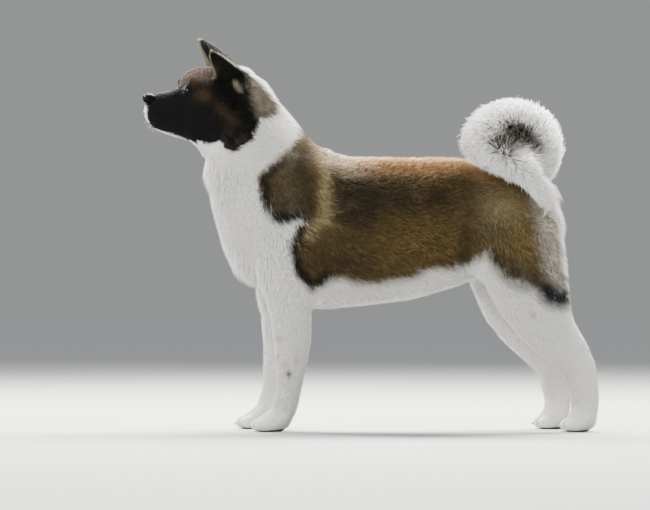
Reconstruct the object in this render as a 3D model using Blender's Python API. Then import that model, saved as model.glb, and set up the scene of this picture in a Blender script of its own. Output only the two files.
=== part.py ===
"""A young American Akita dog, life size, standing square-on in left profile with its tail curled.

Metres, +Z up. The dog faces -X and its left side is towards -Y. Every solid reaches out to the tips
of the coat. The flesh is one smooth body, parted by thin cuts where a person would name its parts.
"""
import itertools
import math

import bpy
import bmesh
import numpy as np
from mathutils import Matrix, Vector

GAP = 0.0003            # air between touching pieces
CELL = 0.006            # grid spacing the flesh is formed on
FIELD_LOW = (-0.50, -0.145, -0.02)      # the space the flesh is formed in
FIELD_HIGH = (0.50, 0.145, 0.78)
FAR = 0.5               # distance given to points well away from a shape
FINE_FACES = 5100       # density, as faces over the whole flesh, that the head and paws keep
FLESH_FACES = 2250      # faces left in the flesh before it is parted
FINE_HEAD = (-0.26, 0.56)       # the head keeps its faces forward of this x and above this z
FINE_PAW_TOP = 0.045    # the paws keep theirs below this z

LEFT = -1.0             # side of a left-hand part along Y
RIGHT = 1.0
SIDE_NAMES = {LEFT: "left", RIGHT: "right"}

# Trunk: rows of x, y, z, half height, half width, from the breastbone to the rump.
TRUNK = (
    (-0.236, 0.0, 0.383, 0.100, 0.066),
    (-0.172, 0.0, 0.404, 0.146, 0.090),
    (-0.110, 0.0, 0.399, 0.158, 0.098),
    (-0.040, 0.0, 0.401, 0.151, 0.099),
    (0.040, 0.0, 0.405, 0.146, 0.097),
    (0.110, 0.0, 0.412, 0.138, 0.091),
    (0.180, 0.0, 0.421, 0.129, 0.088),
    (0.240, 0.0, 0.426, 0.116, 0.088),
    (0.290, 0.0, 0.414, 0.098, 0.082),
    (0.326, 0.0, 0.396, 0.072, 0.064),
)
NECK = (
    (-0.284, 0.0, 0.660, 0.076, 0.066),
    (-0.258, 0.0, 0.598, 0.094, 0.074),
    (-0.234, 0.0, 0.544, 0.106, 0.083),
    (-0.206, 0.0, 0.482, 0.108, 0.088),
)
BACK_CREST = (          # mane and withers along the top of the neck
    (-0.240, 0.0, 0.660, 0.034, 0.036),
    (-0.200, 0.0, 0.602, 0.035, 0.044),
    (-0.160, 0.0, 0.540, 0.032, 0.050),
    (-0.080, 0.0, 0.500, 0.034, 0.050),
)
BODY_BLEND = 0.030      # how softly the large masses run together
LEG_BLEND = 0.022
HEAD_BLEND = 0.014
PAW_BLEND = 0.006

# Head, in its own frame before it is turned.
HEAD_PIVOT = Vector((-0.300, 0.0, 0.650))
HEAD_YAW = math.radians(13)
HEAD_ROLL = math.radians(15)
MUZZLE = (
    (-0.433, 0.0, 0.6405, 0.0335, 0.0250),
    (-0.418, 0.0, 0.6375, 0.0395, 0.0300),
    (-0.400, 0.0, 0.6350, 0.0450, 0.0340),
    (-0.378, 0.0, 0.6350, 0.0480, 0.0400),
)
SKULL = (
    (-0.333, 0.0, 0.673, 0.059, 0.056),
    (-0.318, 0.0, 0.660, 0.074, 0.067),
    (-0.292, 0.0, 0.651, 0.083, 0.073),
    (-0.270, 0.0, 0.649, 0.083, 0.072),
)
LOWER_JAW = (
    (-0.426, 0.0, 0.6160, 0.0150, 0.0190),
    (-0.390, 0.0, 0.6060, 0.0190, 0.0270),
    (-0.345, 0.0, 0.5960, 0.0260, 0.0440),
)
CHEEK = ((-0.300, 0.046, 0.604), (0.056, 0.034, 0.048))
RUFF = ((-0.268, 0.046, 0.598), (0.040, 0.032, 0.048))
BROW = ((-0.352, 0.026, 0.699), (0.022, 0.020, 0.016))
CHEEKBONE = ((-0.342, 0.035, 0.679), (0.040, 0.024, 0.026))
EYE_CENTRE = (-0.3775, 0.0350, 0.6855)
EYE_RADIUS = 0.0104
SOCKET = ((-0.393, 0.050, 0.6835), (0.015, 0.013, 0.010))
NOSE_CENTRE = (-0.4490, 0.0, 0.6630)
NOSE_RADII = (0.0110, 0.0165, 0.0120)
MOUTH_CORNER = (-0.372, 0.0, 0.616)
MOUTH_FRONT = (-0.520, 0.0, 0.6351)    # a point ahead of the lips, in line with them
JAW_BACK_SLANT = 0.012
JAW_TOOL_BASE = 0.50    # well below the jaw

# Ear: a cupped triangle, in the head's frame.
EAR_ROOT = (-0.290, 0.0560, 0.7100)
EAR_TIP = (-0.3390, 0.0640, 0.7710)
EAR_HALF_WIDTH = 0.0400
EAR_CUP = 0.0200
EAR_THICKNESS = 0.0100
EAR_TAPER = 0.60        # 1 would give straight edges, less gives bowed ones
EAR_TIP_SHARE = 0.09
EAR_LEVELS = (-0.30, 0.0, 0.22, 0.44, 0.64, 0.82, 0.94, 1.0)    # shares of its length
EAR_POINTS = 7          # round its back, from edge to edge
EAR_ROOT_THINNING = 0.45        # how much of its thickness it loses towards the tip
EAR_EDGE = 0.35         # the hollow stops short of the edge by this share of the thickness
EAR_TURN = math.radians(42)     # the hollow looks forward and this much outward

# Forelegs: x, z, half depth, half width down the leg; the elbow stands off the chest.
FORELEG = (
    (-0.160, 0.300, 0.054, 0.040),
    (-0.162, 0.245, 0.0475, 0.037),
    (-0.158, 0.185, 0.0395, 0.033),
    (-0.161, 0.135, 0.0335, 0.030),
    (-0.165, 0.085, 0.0285, 0.027),
    (-0.173, 0.048, 0.0265, 0.027),
    (-0.184, 0.028, 0.0260, 0.028),
)
FORELEG_Y = 0.068
FORELEG_LEAN = {LEFT: (0.0, 0.0), RIGHT: (-0.017, -0.033)}     # shift in x at elbow and paw
SHOULDER = ((-0.178, 0.064, 0.425), (0.070, 0.036, 0.105))
UPPER_ARM = ((-0.160, 0.068, 0.335), (0.058, 0.036, 0.070))
FORELEG_TOP = 0.300
FOREPAW_X = -0.199

# Hind legs: the thigh, the lower thigh down to the hock, and the upright pastern.
HINDLEG = (
    (0.282, 0.430, 0.089, 0.036),
    (0.292, 0.365, 0.099, 0.044),
    (0.312, 0.295, 0.085, 0.044),
    (0.332, 0.236, 0.069, 0.040),
    (0.357, 0.198, 0.054, 0.034),
    (0.388, 0.158, 0.042, 0.029),
    (0.409, 0.128, 0.0370, 0.027),
    (0.4180, 0.093, 0.0325, 0.026),
    (0.4215, 0.060, 0.0295, 0.026),
    (0.4185, 0.034, 0.0280, 0.027),
)
HINDLEG_TOP_Y = 0.056
HINDLEG_FOOT_Y = 0.070
HINDLEG_HOCK = 0.160    # height by which the leg has reached its foot's line
HINDLEG_LEAN = {LEFT: (0.0, 0.0), RIGHT: (-0.008, -0.044)}
HINDPAW_X = 0.4120

# Paws: a pad body and four toes.
TOE_SPREAD = 0.0145
TOE_RADII = (0.0210, 0.0098, 0.0150)
TOE_HEIGHT = 0.0135
TOE_FORWARD = (0.010, 0.0185)    # outer toes, inner toes
PAW_RADII = (0.0290, 0.0270, 0.0200)
PAW_HEIGHT = 0.0170
CLAW_LENGTH = 0.0120
CLAW_RADIUS = 0.0030
CLAW_SIDES = 5
CLAW_SET_BACK = 0.0070
CLAW_RISE = 0.0010      # over the middle of its toe
CLAW_FLATNESS = 0.8     # width as a share of height
CLAW_LEVELS = (         # forward and down as shares of the length, size as a share of the radius
    (0.0, 0.0, 1.0),
    (0.50, -0.04, 0.95),
    (0.82, -0.20, 0.55),
    (1.02, -0.44, 0.12),
)

# Tail: one and a quarter turns over the back and down the near hip.
TAIL_CENTRE = (0.279, 0.5645)
TAIL_RING = 0.0595
TAIL_ROOT = (0.250, 0.004, 0.492)
TAIL_TURN = (math.radians(-78), math.radians(172))   # angles where the ring starts and ends
TAIL_DRIFT = (0.010, -0.036)    # y at the two ends of the ring
TAIL_END = (
    (0.232, -0.058, 0.5480, 0.0410, 0.0390),
    (0.259, -0.076, 0.5260, 0.0410, 0.0390),
    (0.291, -0.087, 0.5000, 0.0410, 0.0390),
    (0.322, -0.092, 0.4720, 0.0380, 0.0370),
    (0.343, -0.094, 0.4450, 0.0290, 0.0290),
    (0.355, -0.094, 0.4240, 0.0110, 0.0110),
)
TAIL_RADII = (0.0405, 0.0395)   # in the ring's plane and across it
TAIL_ROOT_RADII = (0.034, 0.034)
TAIL_RING_STEPS = 7
TAIL_DRIFT_START = 0.35         # share of the ring that stays over the spine
TAIL_DRIFT_BEND = 1.5
TAIL_LENGTHS = 5
TAIL_SIDES = 12

# Where the body is parted: a point on each cutting plane, and the way the plane faces.
LEG_CUTS = {
    "front": (
        ("paw", (-0.180, 0.0, 0.040), (-0.25, 0.0, -1.0)),
        ("pastern", (-0.165, 0.0, 0.090), (0.0, 0.0, -1.0)),
        ("forearm", (-0.160, 0.0, 0.236), (0.0, 0.0, -1.0)),
    ),
    "hind": (
        ("paw", (0.410, 0.0, 0.040), (-0.20, 0.0, -1.0)),
        ("pastern", (0.395, 0.0, 0.138), (0.35, 0.0, -1.0)),
        ("lower_leg", (0.330, 0.0, 0.238), (0.40, 0.0, -0.92)),
    ),
}
LEG_REACH = {"front": (-0.34, -0.06), "hind": (0.15, 0.60)}     # x between which a leg lies
LEG_INNER = 0.004       # half the space left between the cuts of left and right legs
LEG_BLOCK_TOP = 0.40
OUTSIDE = 0.30          # well clear of the body on either side
BELOW = -0.10           # well under the floor
SHOULDER_CUT = ((-0.178, 0.455, 0.074), (-0.160, 0.285, 0.066), 0.062, 0.030)
THIGH_CUT = ((0.286, 0.420, 0.086), (0.300, 0.290, 0.112), 0.058, 0.020)
TRUNK_CUTS = (
    ("head", (-0.281, 0.0, 0.640), (-0.87, 0.0, 0.50)),
    ("neck", (-0.205, 0.0, 0.500), (-0.65, 0.0, 0.76)),
    ("chest", (0.030, 0.0, 0.400), (-1.0, 0.0, 0.0)),
    ("loin", (0.185, 0.0, 0.400), (-1.0, 0.0, 0.0)),
)

# Name, base colour, roughness.
LOOKS = {
    "coat_white": ((0.86, 0.84, 0.80), 0.9),
    "coat_brown": ((0.30, 0.19, 0.11), 0.9),
    "coat_dark": ((0.035, 0.025, 0.020), 0.85),
    "nose_leather": ((0.012, 0.011, 0.012), 0.45),
    "eye_glass": ((0.030, 0.016, 0.010), 0.08),
    "claw_horn": ((0.16, 0.13, 0.11), 0.45),
}


def clear_scene():
    for thing in list(bpy.data.objects):
        bpy.data.objects.remove(thing, do_unlink=True)


def make_looks():
    made = {}
    for name, (colour, roughness) in LOOKS.items():
        material = bpy.data.materials.new(name)
        material.use_nodes = True
        shader = material.node_tree.nodes["Principled BSDF"]
        shader.inputs["Base Color"].default_value = (*colour, 1.0)
        shader.inputs["Roughness"].default_value = roughness
        shader.inputs["Metallic"].default_value = 0.0
        made[name] = material
    return made


# ---- The flesh as a field: negative inside, rising to positive outside ----

def smooth_rows(rows, steps=4):
    """Rows of numbers with a soft curve run through them, several steps to each gap."""
    rows = np.array(rows, float)
    padded = np.vstack([2 * rows[0] - rows[1], rows, 2 * rows[-1] - rows[-2]])
    out = []
    for before, start, end, after in zip(padded[:-3], padded[1:-2], padded[2:-1], padded[3:]):
        for t in np.arange(steps) / steps:
            out.append(
                start
                + 0.5 * t * (end - before)
                + t**2 * (before - 2.5 * start + 2 * end - 0.5 * after)
                + t**3 * (-0.5 * before + 1.5 * start - 1.5 * end + 0.5 * after)
            )
    out.append(rows[-1])
    return np.array(out)


def close_to(points, low, high, reach=0.06):
    return np.all((points > low - reach) & (points < high + reach), axis=1)


def limb(points, rows):
    """Rough distance to a run of oval rings: rows of x, y, z, half depth, half width."""
    rows = smooth_rows(rows)
    widest = rows[:, 3:].max()
    near = close_to(points, rows[:, :3].min(axis=0) - widest, rows[:, :3].max(axis=0) + widest)
    found = np.full(len(points), FAR)
    spots = points[near]
    best = np.full(len(spots), FAR)
    for start, end in zip(rows[:-1], rows[1:]):
        run = end[:3] - start[:3]
        length = np.linalg.norm(run)
        along = run / length
        deep_way = np.cross(along, (0.0, 1.0, 0.0))
        deep_way /= np.linalg.norm(deep_way)
        wide_way = np.cross(deep_way, along)
        share = np.clip((spots - start[:3]) @ along / length, 0, 1)
        sizes = start[3:] + share[:, None] * (end[3:] - start[3:])
        away = spots - start[:3] - share[:, None] * run
        least = sizes.min(axis=1)
        reach = np.sqrt(
            (away @ deep_way / sizes[:, 0]) ** 2
            + (away @ wide_way / sizes[:, 1]) ** 2
            + (away @ along / least) ** 2
        )
        best = np.minimum(best, (reach - 1) * least)
    found[near] = best
    return found


def ball(points, shape, side=1.0):
    """Rough distance to an ellipsoid given as its centre and radii, on one side of the body."""
    centre = np.array(shape[0]) * (1, side, 1)
    radii = np.array(shape[1])
    near = close_to(points, centre - radii, centre + radii)
    found = np.full(len(points), FAR)
    reach = np.linalg.norm((points[near] - centre) / radii, axis=1)
    found[near] = (reach - 1) * radii.min()
    return found


def blend(first, second, width):
    """Union of two fields whose meeting line is rounded over a width."""
    close = np.maximum(width - np.abs(first - second), 0) / width
    return np.minimum(first, second) - close**2 * width / 4


def scoop(field, tool, width):
    """Field with a soft-edged hollow left by a tool's field."""
    return -blend(-field, tool, width)


def head_matrix():
    turn = Matrix.Rotation(HEAD_YAW, 4, "Z") @ Matrix.Rotation(HEAD_ROLL, 4, "X")
    return Matrix.Translation(HEAD_PIVOT) @ turn @ Matrix.Translation(-HEAD_PIVOT)


def head_field(points):
    back = np.array(head_matrix().inverted())
    points = points @ back[:3, :3].T + back[:3, 3]
    field = blend(limb(points, MUZZLE), limb(points, SKULL), HEAD_BLEND)
    field = blend(field, limb(points, LOWER_JAW), HEAD_BLEND)
    for side in SIDE_NAMES:
        field = blend(field, ball(points, CHEEK, side), 2 * HEAD_BLEND)
        field = blend(field, ball(points, RUFF, side), 2 * HEAD_BLEND)
        field = blend(field, ball(points, CHEEKBONE, side), HEAD_BLEND)
        field = blend(field, ball(points, BROW, side), HEAD_BLEND)
        field = scoop(field, ball(points, SOCKET, side), HEAD_BLEND / 2)
    return field


def foreleg_rows(side):
    top_lean, foot_lean = FORELEG_LEAN[side]
    rows = []
    for x, z, deep, wide in FORELEG:
        share = 1 - z / FORELEG_TOP
        lean = top_lean + share * (foot_lean - top_lean)
        rows.append((x + lean, side * FORELEG_Y, z, deep, wide))
    return rows


def hindleg_rows(side):
    top_lean, foot_lean = HINDLEG_LEAN[side]
    top = HINDLEG[0][1]
    rows = []
    for x, z, deep, wide in HINDLEG:
        share = min(1.0, (top - z) / (top - HINDLEG_HOCK))
        y = HINDLEG_TOP_Y + share * (HINDLEG_FOOT_Y - HINDLEG_TOP_Y)
        lean = top_lean + share * (foot_lean - top_lean)
        rows.append((x + lean, side * y, z, deep, wide))
    return rows


def paws():
    """Each paw's name, and the x and y of its middle."""
    for side, word in SIDE_NAMES.items():
        yield f"front_{word}", FOREPAW_X + FORELEG_LEAN[side][1], side * FORELEG_Y
        yield f"hind_{word}", HINDPAW_X + HINDLEG_LEAN[side][1], side * HINDLEG_FOOT_Y


def toes(paw_x, paw_y):
    """Centres of a paw's four toes, from its -Y side."""
    for place in (-1.5, -0.5, 0.5, 1.5):
        forward = TOE_FORWARD[abs(place) < 1]
        yield paw_x - forward, paw_y + place * TOE_SPREAD, TOE_HEIGHT


def flesh_field(points):
    body = blend(limb(points, TRUNK), limb(points, NECK), 2 * BODY_BLEND)
    body = blend(body, limb(points, BACK_CREST), BODY_BLEND)
    for side in SIDE_NAMES:
        body = blend(body, ball(points, SHOULDER, side), BODY_BLEND)
        upper_arm = ball(points, UPPER_ARM, side)
        foreleg = blend(limb(points, foreleg_rows(side)), upper_arm, LEG_BLEND)
        body = blend(body, foreleg, LEG_BLEND)
        body = blend(body, limb(points, hindleg_rows(side)), LEG_BLEND)
    for _, x, y in paws():
        paw = ball(points, ((x, y, PAW_HEIGHT), PAW_RADII))
        body = blend(body, paw, 2 * PAW_BLEND)
        for centre in toes(x, y):
            body = blend(body, ball(points, (centre, TOE_RADII)), PAW_BLEND)
    return blend(body, head_field(points), HEAD_BLEND)


# ---- From field to mesh ----

def surface_of(field_of, low, high, cell):
    """Vertices and quads on a field's zero level, one vertex in each grid cell that it crosses."""
    counts = [int(math.ceil((b - a) / cell)) + 1 for a, b in zip(low, high)]
    ticks = [a + cell * np.arange(n) for a, n in zip(low, counts)]
    grid = np.stack(np.meshgrid(*ticks, indexing="ij"), axis=-1)
    value = field_of(grid.reshape(-1, 3)).reshape(counts)
    inside = value < 0
    total = np.zeros([n - 1 for n in counts] + [3])
    crossings = np.zeros([n - 1 for n in counts])
    for axis in range(3):
        first = [slice(None)] * 3
        second = [slice(None)] * 3
        first[axis] = slice(0, -1)
        second[axis] = slice(1, None)
        a, b = value[tuple(first)], value[tuple(second)]
        crossed = (a < 0) != (b < 0)
        share = np.where(crossed, a / np.where(crossed, a - b, 1), 0)
        spot = grid[tuple(first)].copy()
        spot[..., axis] += share * cell
        u, v = [k for k in range(3) if k != axis]
        for du in (0, 1):
            for dv in (0, 1):
                part = [slice(None)] * 3
                part[u] = slice(du, counts[u] - 1 + du)
                part[v] = slice(dv, counts[v] - 1 + dv)
                mark = crossed[tuple(part)]
                total += spot[tuple(part)] * mark[..., None]
                crossings += mark
    used = crossings > 0
    index = np.full(used.shape, -1)
    index[used] = np.arange(used.sum())
    vertices = total[used] / crossings[used][:, None]
    quads = []
    for axis in range(3):
        u, v = [(1, 2), (2, 0), (0, 1)][axis]
        first = [slice(1, -1)] * 3
        second = [slice(1, -1)] * 3
        first[axis] = slice(0, -1)
        second[axis] = slice(1, None)
        a, b = inside[tuple(first)], inside[tuple(second)]
        where = np.argwhere(a != b)
        offset = np.ones(3, int)
        offset[axis] = 0
        cells = where + offset
        corners = []
        for du, dv in ((1, 1), (0, 1), (0, 0), (1, 0)):
            step = np.zeros(3, int)
            step[u] = du
            step[v] = dv
            at = cells - step
            corners.append(index[at[:, 0], at[:, 1], at[:, 2]])
        faces = np.stack(corners, axis=1)
        outward = a[a != b]
        faces[~outward] = faces[~outward][:, ::-1]
        quads.append(faces)
    return vertices, np.vstack(quads)


def new_object(name, vertices, faces):
    mesh = bpy.data.meshes.new(name)
    mesh.from_pydata([tuple(v) for v in vertices], [], [tuple(int(i) for i in f) for f in faces])
    mesh.update()
    made = bpy.data.objects.new(name, mesh)
    bpy.context.scene.collection.objects.link(made)
    return made


def apply_modifiers(thing):
    """The object's mesh as its modifiers leave it, kept as plain mesh."""
    graph = bpy.context.evaluated_depsgraph_get()
    settled = bpy.data.meshes.new_from_object(thing.evaluated_get(graph))
    thing.modifiers.clear()
    thing.data = settled


def make_flesh():
    vertices, faces = surface_of(flesh_field, FIELD_LOW, FIELD_HIGH, CELL)
    flesh = new_object("flesh", vertices, faces)
    soften = flesh.modifiers.new("soften", "SMOOTH")
    soften.factor = 0.5
    soften.iterations = 3
    thin = flesh.modifiers.new("thin", "DECIMATE")
    thin.ratio = FINE_FACES / (2 * len(faces))
    apply_modifiers(flesh)
    free = flesh.vertex_groups.new(name="free")
    for vertex in flesh.data.vertices:
        x, _, z = vertex.co
        fine = (x < FINE_HEAD[0] and z > FINE_HEAD[1]) or z < FINE_PAW_TOP
        free.add([vertex.index], 0.0 if fine else 1.0, "REPLACE")
    thin = flesh.modifiers.new("thin_more", "DECIMATE")
    thin.ratio = FLESH_FACES / FINE_FACES
    thin.vertex_group = "free"
    apply_modifiers(flesh)
    press_flat(flesh)
    return flesh


def press_flat(thing):
    """Cuts what reaches under the floor, leaving a small flat under each paw."""
    low, high = FIELD_LOW, FIELD_HIGH
    under = box_cutter("under", (low[0], -OUTSIDE, BELOW), (high[0], OUTSIDE, 0.0))
    cut(thing, under, "DIFFERENCE")
    bpy.data.objects.remove(under)


# ---- Cutting ----

def box_cutter(name, low, high):
    corners = list(itertools.product(*zip(low, high)))
    faces = [(0, 1, 3, 2), (4, 6, 7, 5), (0, 4, 5, 1), (2, 3, 7, 6), (0, 2, 6, 4), (1, 5, 7, 3)]
    return new_object(name, corners, faces)


def half_space(name, point, normal, size=0.7):
    """A large block filling the side of a plane that its normal points to."""
    block = box_cutter(name, (-size, -size, 0.0), (size, size, size))
    turn = Vector((0, 0, 1)).rotation_difference(Vector(normal)).to_matrix().to_4x4()
    block.data.transform(Matrix.Translation(point) @ turn)
    return block


def cut(thing, tool, operation):
    tool.hide_render = True
    tool.display_type = "WIRE"
    modifier = thing.modifiers.new("cut", "BOOLEAN")
    modifier.operation = operation
    modifier.solver = "EXACT"
    modifier.object = tool
    apply_modifiers(thing)


def copy_of(thing, name):
    made = bpy.data.objects.new(name, thing.data.copy())
    bpy.context.scene.collection.objects.link(made)
    return made


def drop_crumbs(piece):
    """Leaves only the largest of the bodies that a cut has made of a piece."""
    shape = bmesh.new()
    shape.from_mesh(piece.data)
    left = set(shape.verts)
    bodies = []
    while left:
        body = [left.pop()]
        for vertex in body:
            for edge in vertex.link_edges:
                other = edge.other_vert(vertex)
                if other in left:
                    left.remove(other)
                    body.append(other)
        bodies.append(body)
    bodies.sort(key=len)
    for body in bodies[:-1]:
        bmesh.ops.delete(shape, geom=body, context="VERTS")
    shape.to_mesh(piece.data)
    shape.free()


def part_off(rest, name, region, grown):
    """Moves what lies in a region from the rest into its own piece, with a gap between them."""
    piece = copy_of(rest, name)
    cut(piece, region, "INTERSECT")
    cut(rest, grown, "DIFFERENCE")
    bpy.data.objects.remove(region)
    bpy.data.objects.remove(grown)
    return piece


def part_by_plane(rest, name, point, normal, block=None):
    """Parts off the side of a plane that its normal points to, or only what a block holds of it."""
    point, normal = Vector(point), Vector(normal).normalized()
    region = half_space("region", point, normal)
    grown = half_space("grown", point - normal * GAP, normal)
    if block:
        for tool in (region, grown):
            limit = box_cutter("limit", *block)
            cut(tool, limit, "INTERSECT")
            bpy.data.objects.remove(limit)
    return part_off(rest, name, region, grown)


def stadium(name, top, bottom, side, inner_top, inner_bottom, grow):
    """A rounded slab round the outside of a limb: two circles in side view, and an inner face."""
    steps = 12
    (x1, z1, r1), (x2, z2, r2) = top, bottom
    outline = []
    for k in range(steps + 1):
        across, up = math.cos(math.pi * k / steps), math.sin(math.pi * k / steps)
        outline.append((x1 + (r1 + grow) * across, z1 + (r1 + grow) * up))
    for k in range(steps + 1):
        across, up = math.cos(math.pi * k / steps), math.sin(math.pi * k / steps)
        outline.append((x2 - (r2 + grow) * across, z2 - (r2 + grow) * up))
    vertices = []
    for x, z in outline:
        share = (z - z2) / (z1 - z2)
        inner = inner_bottom + share * (inner_top - inner_bottom) - grow
        vertices.append((x, side * inner, z))
    vertices += [(x, side * OUTSIDE, z) for x, z in outline]
    count = len(outline)
    faces = [(k, (k + 1) % count, (k + 1) % count + count, k + count) for k in range(count)]
    faces += [tuple(range(count))[::-1], tuple(range(count, 2 * count))]
    made = new_object(name, vertices, faces)
    outward(made)
    return made


def outward(thing):
    """Turns a piece's faces outward and makes them triangles."""
    shape = bmesh.new()
    shape.from_mesh(thing.data)
    bmesh.ops.recalc_face_normals(shape, faces=shape.faces)
    bmesh.ops.triangulate(shape, faces=shape.faces)
    shape.to_mesh(thing.data)
    shape.free()


def seat(piece, hosts):
    """Makes room for a piece in the hosts round it, with a gap all over."""
    room = copy_of(piece, "room")
    shape = bmesh.new()
    shape.from_mesh(room.data)
    shape.normal_update()
    moves = [vertex.normal * GAP * vertex.calc_shell_factor() for vertex in shape.verts]
    for vertex, move in zip(shape.verts, moves):
        vertex.co += move
    shape.to_mesh(room.data)
    shape.free()
    for host in hosts:
        cut(host, room, "DIFFERENCE")
    bpy.data.objects.remove(room)


def part_limb_root(rest, name, side, lean, shape):
    """Parts off a shoulder or thigh along a rounded outline, moved by its leg's lean."""
    (x1, z1, r1), (x2, z2, r2), inner_top, inner_bottom = shape
    tools = [
        stadium(word, (x1 + lean, z1, r1), (x2 + lean, z2, r2), side, inner_top, inner_bottom, grow)
        for word, grow in (("region", 0.0), ("grown", GAP))
    ]
    return part_off(rest, name, *tools)


def part_legs(flesh):
    pieces = []
    for side, word in SIDE_NAMES.items():
        inner, outer = sorted((side * LEG_INNER, side * OUTSIDE))
        for end, cuts in LEG_CUTS.items():
            back, front = LEG_REACH[end]
            block = ((back, inner, BELOW), (front, outer, LEG_BLOCK_TOP))
            for part, point, normal in cuts:
                pieces.append(part_by_plane(flesh, f"{end}_{word}_{part}", point, normal, block))
        lean = FORELEG_LEAN[side][0]
        pieces.append(part_limb_root(flesh, f"shoulder_{word}", side, lean, SHOULDER_CUT))
        lean = HINDLEG_LEAN[side][0]
        pieces.append(part_limb_root(flesh, f"thigh_{word}", side, lean, THIGH_CUT))
    return pieces


def part_trunk(flesh):
    """Head, neck and the three lengths of the trunk."""
    pieces = [part_by_plane(flesh, name, point, normal) for name, point, normal in TRUNK_CUTS]
    flesh.name = "croup"
    return pieces + [flesh]


# ---- Head pieces ----

def round_piece(name, centre, radii, segments=12, rings=8):
    shape = bmesh.new()
    bmesh.ops.create_uvsphere(shape, u_segments=segments, v_segments=rings, radius=1.0)
    shape.transform(Matrix.Translation(centre) @ Matrix.Diagonal((*radii, 1.0)))
    mesh = bpy.data.meshes.new(name)
    shape.to_mesh(mesh)
    shape.free()
    made = bpy.data.objects.new(name, mesh)
    bpy.context.scene.collection.objects.link(made)
    outward(made)
    return made


def ear(name, side):
    """A triangular ear with a rounded tip, hollow in front: crescent rings from root to tip."""
    root, tip = Vector(EAR_ROOT), Vector(EAR_TIP)
    up = (tip - root).normalized()
    facing = Vector((-math.cos(EAR_TURN), math.sin(EAR_TURN), 0.0))
    facing = (facing - up * facing.dot(up)).normalized()
    across = up.cross(facing)
    length = (tip - root).length
    around = EAR_POINTS
    vertices = []
    for level in EAR_LEVELS:
        taper = max(EAR_TIP_SHARE, (1 - max(level, 0.0)) ** EAR_TAPER)
        width = EAR_HALF_WIDTH * taper
        cup = EAR_CUP * taper
        thick = EAR_THICKNESS * (1 - EAR_ROOT_THINNING * (1 - taper))
        middle = root + up * length * level
        for k in range(around):
            angle = math.pi * k / (around - 1)
            side_way = -math.cos(angle) * width
            back = -math.sin(angle) * (cup + thick / 2)
            vertices.append(middle + across * side_way + facing * (back + thick * EAR_EDGE))
        for k in range(around - 2, 0, -1):
            angle = math.pi * k / (around - 1)
            side_way = -math.cos(angle) * (width - thick * EAR_EDGE)
            back = -math.sin(angle) * (cup - thick / 2)
            vertices.append(middle + across * side_way + facing * (back + thick * EAR_EDGE))
    count = 2 * around - 2
    faces = []
    for ring in range(len(EAR_LEVELS) - 1):
        for k in range(count):
            a, b = ring * count + k, ring * count + (k + 1) % count
            faces.append((a, b, b + count, a + count))
    faces.append(tuple(range(count)))
    faces.append(tuple(range((len(EAR_LEVELS) - 1) * count, len(EAR_LEVELS) * count)))
    vertices = [(v.x, v.y * side, v.z) for v in vertices]
    made = new_object(name, vertices, faces)
    outward(made)
    return made


def part_head(head, neck):
    """Ears, eyes and nose leather, each in a seat cut from the head and neck."""
    pieces = [round_piece("nose", Vector(NOSE_CENTRE), NOSE_RADII)]
    for side, word in SIDE_NAMES.items():
        x, y, z = EYE_CENTRE
        pieces.append(round_piece(f"eye_{word}", Vector((x, side * y, z)), (EYE_RADIUS,) * 3))
        pieces.append(ear(f"ear_{word}", side))
    for piece in pieces:
        piece.data.transform(head_matrix())
        seat(piece, [head, neck])
    return pieces


def part_jaw(head):
    """The lower jaw, under a slit from the lips to the corner of the mouth."""
    turned = head_matrix()
    corner, front = Vector(MOUTH_CORNER), Vector(MOUTH_FRONT)
    tools = []
    for grow in (0.0, GAP):
        outline = [
            corner + Vector((grow, 0, grow)),
            front + Vector((0, 0, grow)),
            Vector((front.x, 0, JAW_TOOL_BASE)),
            Vector((corner.x + JAW_BACK_SLANT + grow, 0, JAW_TOOL_BASE)),
        ]
        vertices = [(p.x, y, p.z) for y in (-0.1, 0.1) for p in outline]
        faces = [(0, 1, 2, 3), (7, 6, 5, 4), (0, 4, 5, 1), (1, 5, 6, 2), (2, 6, 7, 3), (3, 7, 4, 0)]
        tool = new_object("jaw_tool", vertices, faces)
        outward(tool)
        tool.data.transform(turned)
        tools.append(tool)
    return part_off(head, "lower_jaw", *tools)


# ---- Claws ----

def claw(name, base):
    """A small curved cone, pointing forward and down from inside the toe."""
    rings = []
    for forward, drop, size in CLAW_LEVELS:
        middle = Vector(base) + Vector((-forward, 0, drop)) * CLAW_LENGTH
        radius = size * CLAW_RADIUS
        ring = []
        for k in range(CLAW_SIDES):
            angle = 2 * math.pi * k / CLAW_SIDES
            across, up = math.cos(angle) * radius * CLAW_FLATNESS, math.sin(angle) * radius
            ring.append(middle + Vector((0, across, up)))
        rings.append(ring)
    return tube(name, rings)


def part_claws(pieces_by_name):
    made = []
    for paw, paw_x, paw_y in paws():
        host = pieces_by_name[f"{paw}_paw"]
        for number, (x, y, z) in enumerate(toes(paw_x, paw_y), start=1):
            base = (x - TOE_RADII[0] + CLAW_SET_BACK, y, z + CLAW_RISE)
            made.append(claw(f"{paw}_claw_{number}", base))
            seat(made[-1], [host])
    return made


# ---- Tail ----

def tail_rows():
    start, end = TAIL_TURN
    rows = [(*TAIL_ROOT, *TAIL_ROOT_RADII)]
    for k in range(TAIL_RING_STEPS + 1):
        share = k / TAIL_RING_STEPS
        angle = start + share * (end - start)
        bend = max(0.0, share - TAIL_DRIFT_START) / (1 - TAIL_DRIFT_START)
        drift = TAIL_DRIFT[0] + (TAIL_DRIFT[1] - TAIL_DRIFT[0]) * bend**TAIL_DRIFT_BEND
        rows.append((
            TAIL_CENTRE[0] + TAIL_RING * math.cos(angle),
            drift,
            TAIL_CENTRE[1] + TAIL_RING * math.sin(angle),
            *TAIL_RADII,
        ))
    rows += TAIL_END
    return smooth_rows(rows, 2)


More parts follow.
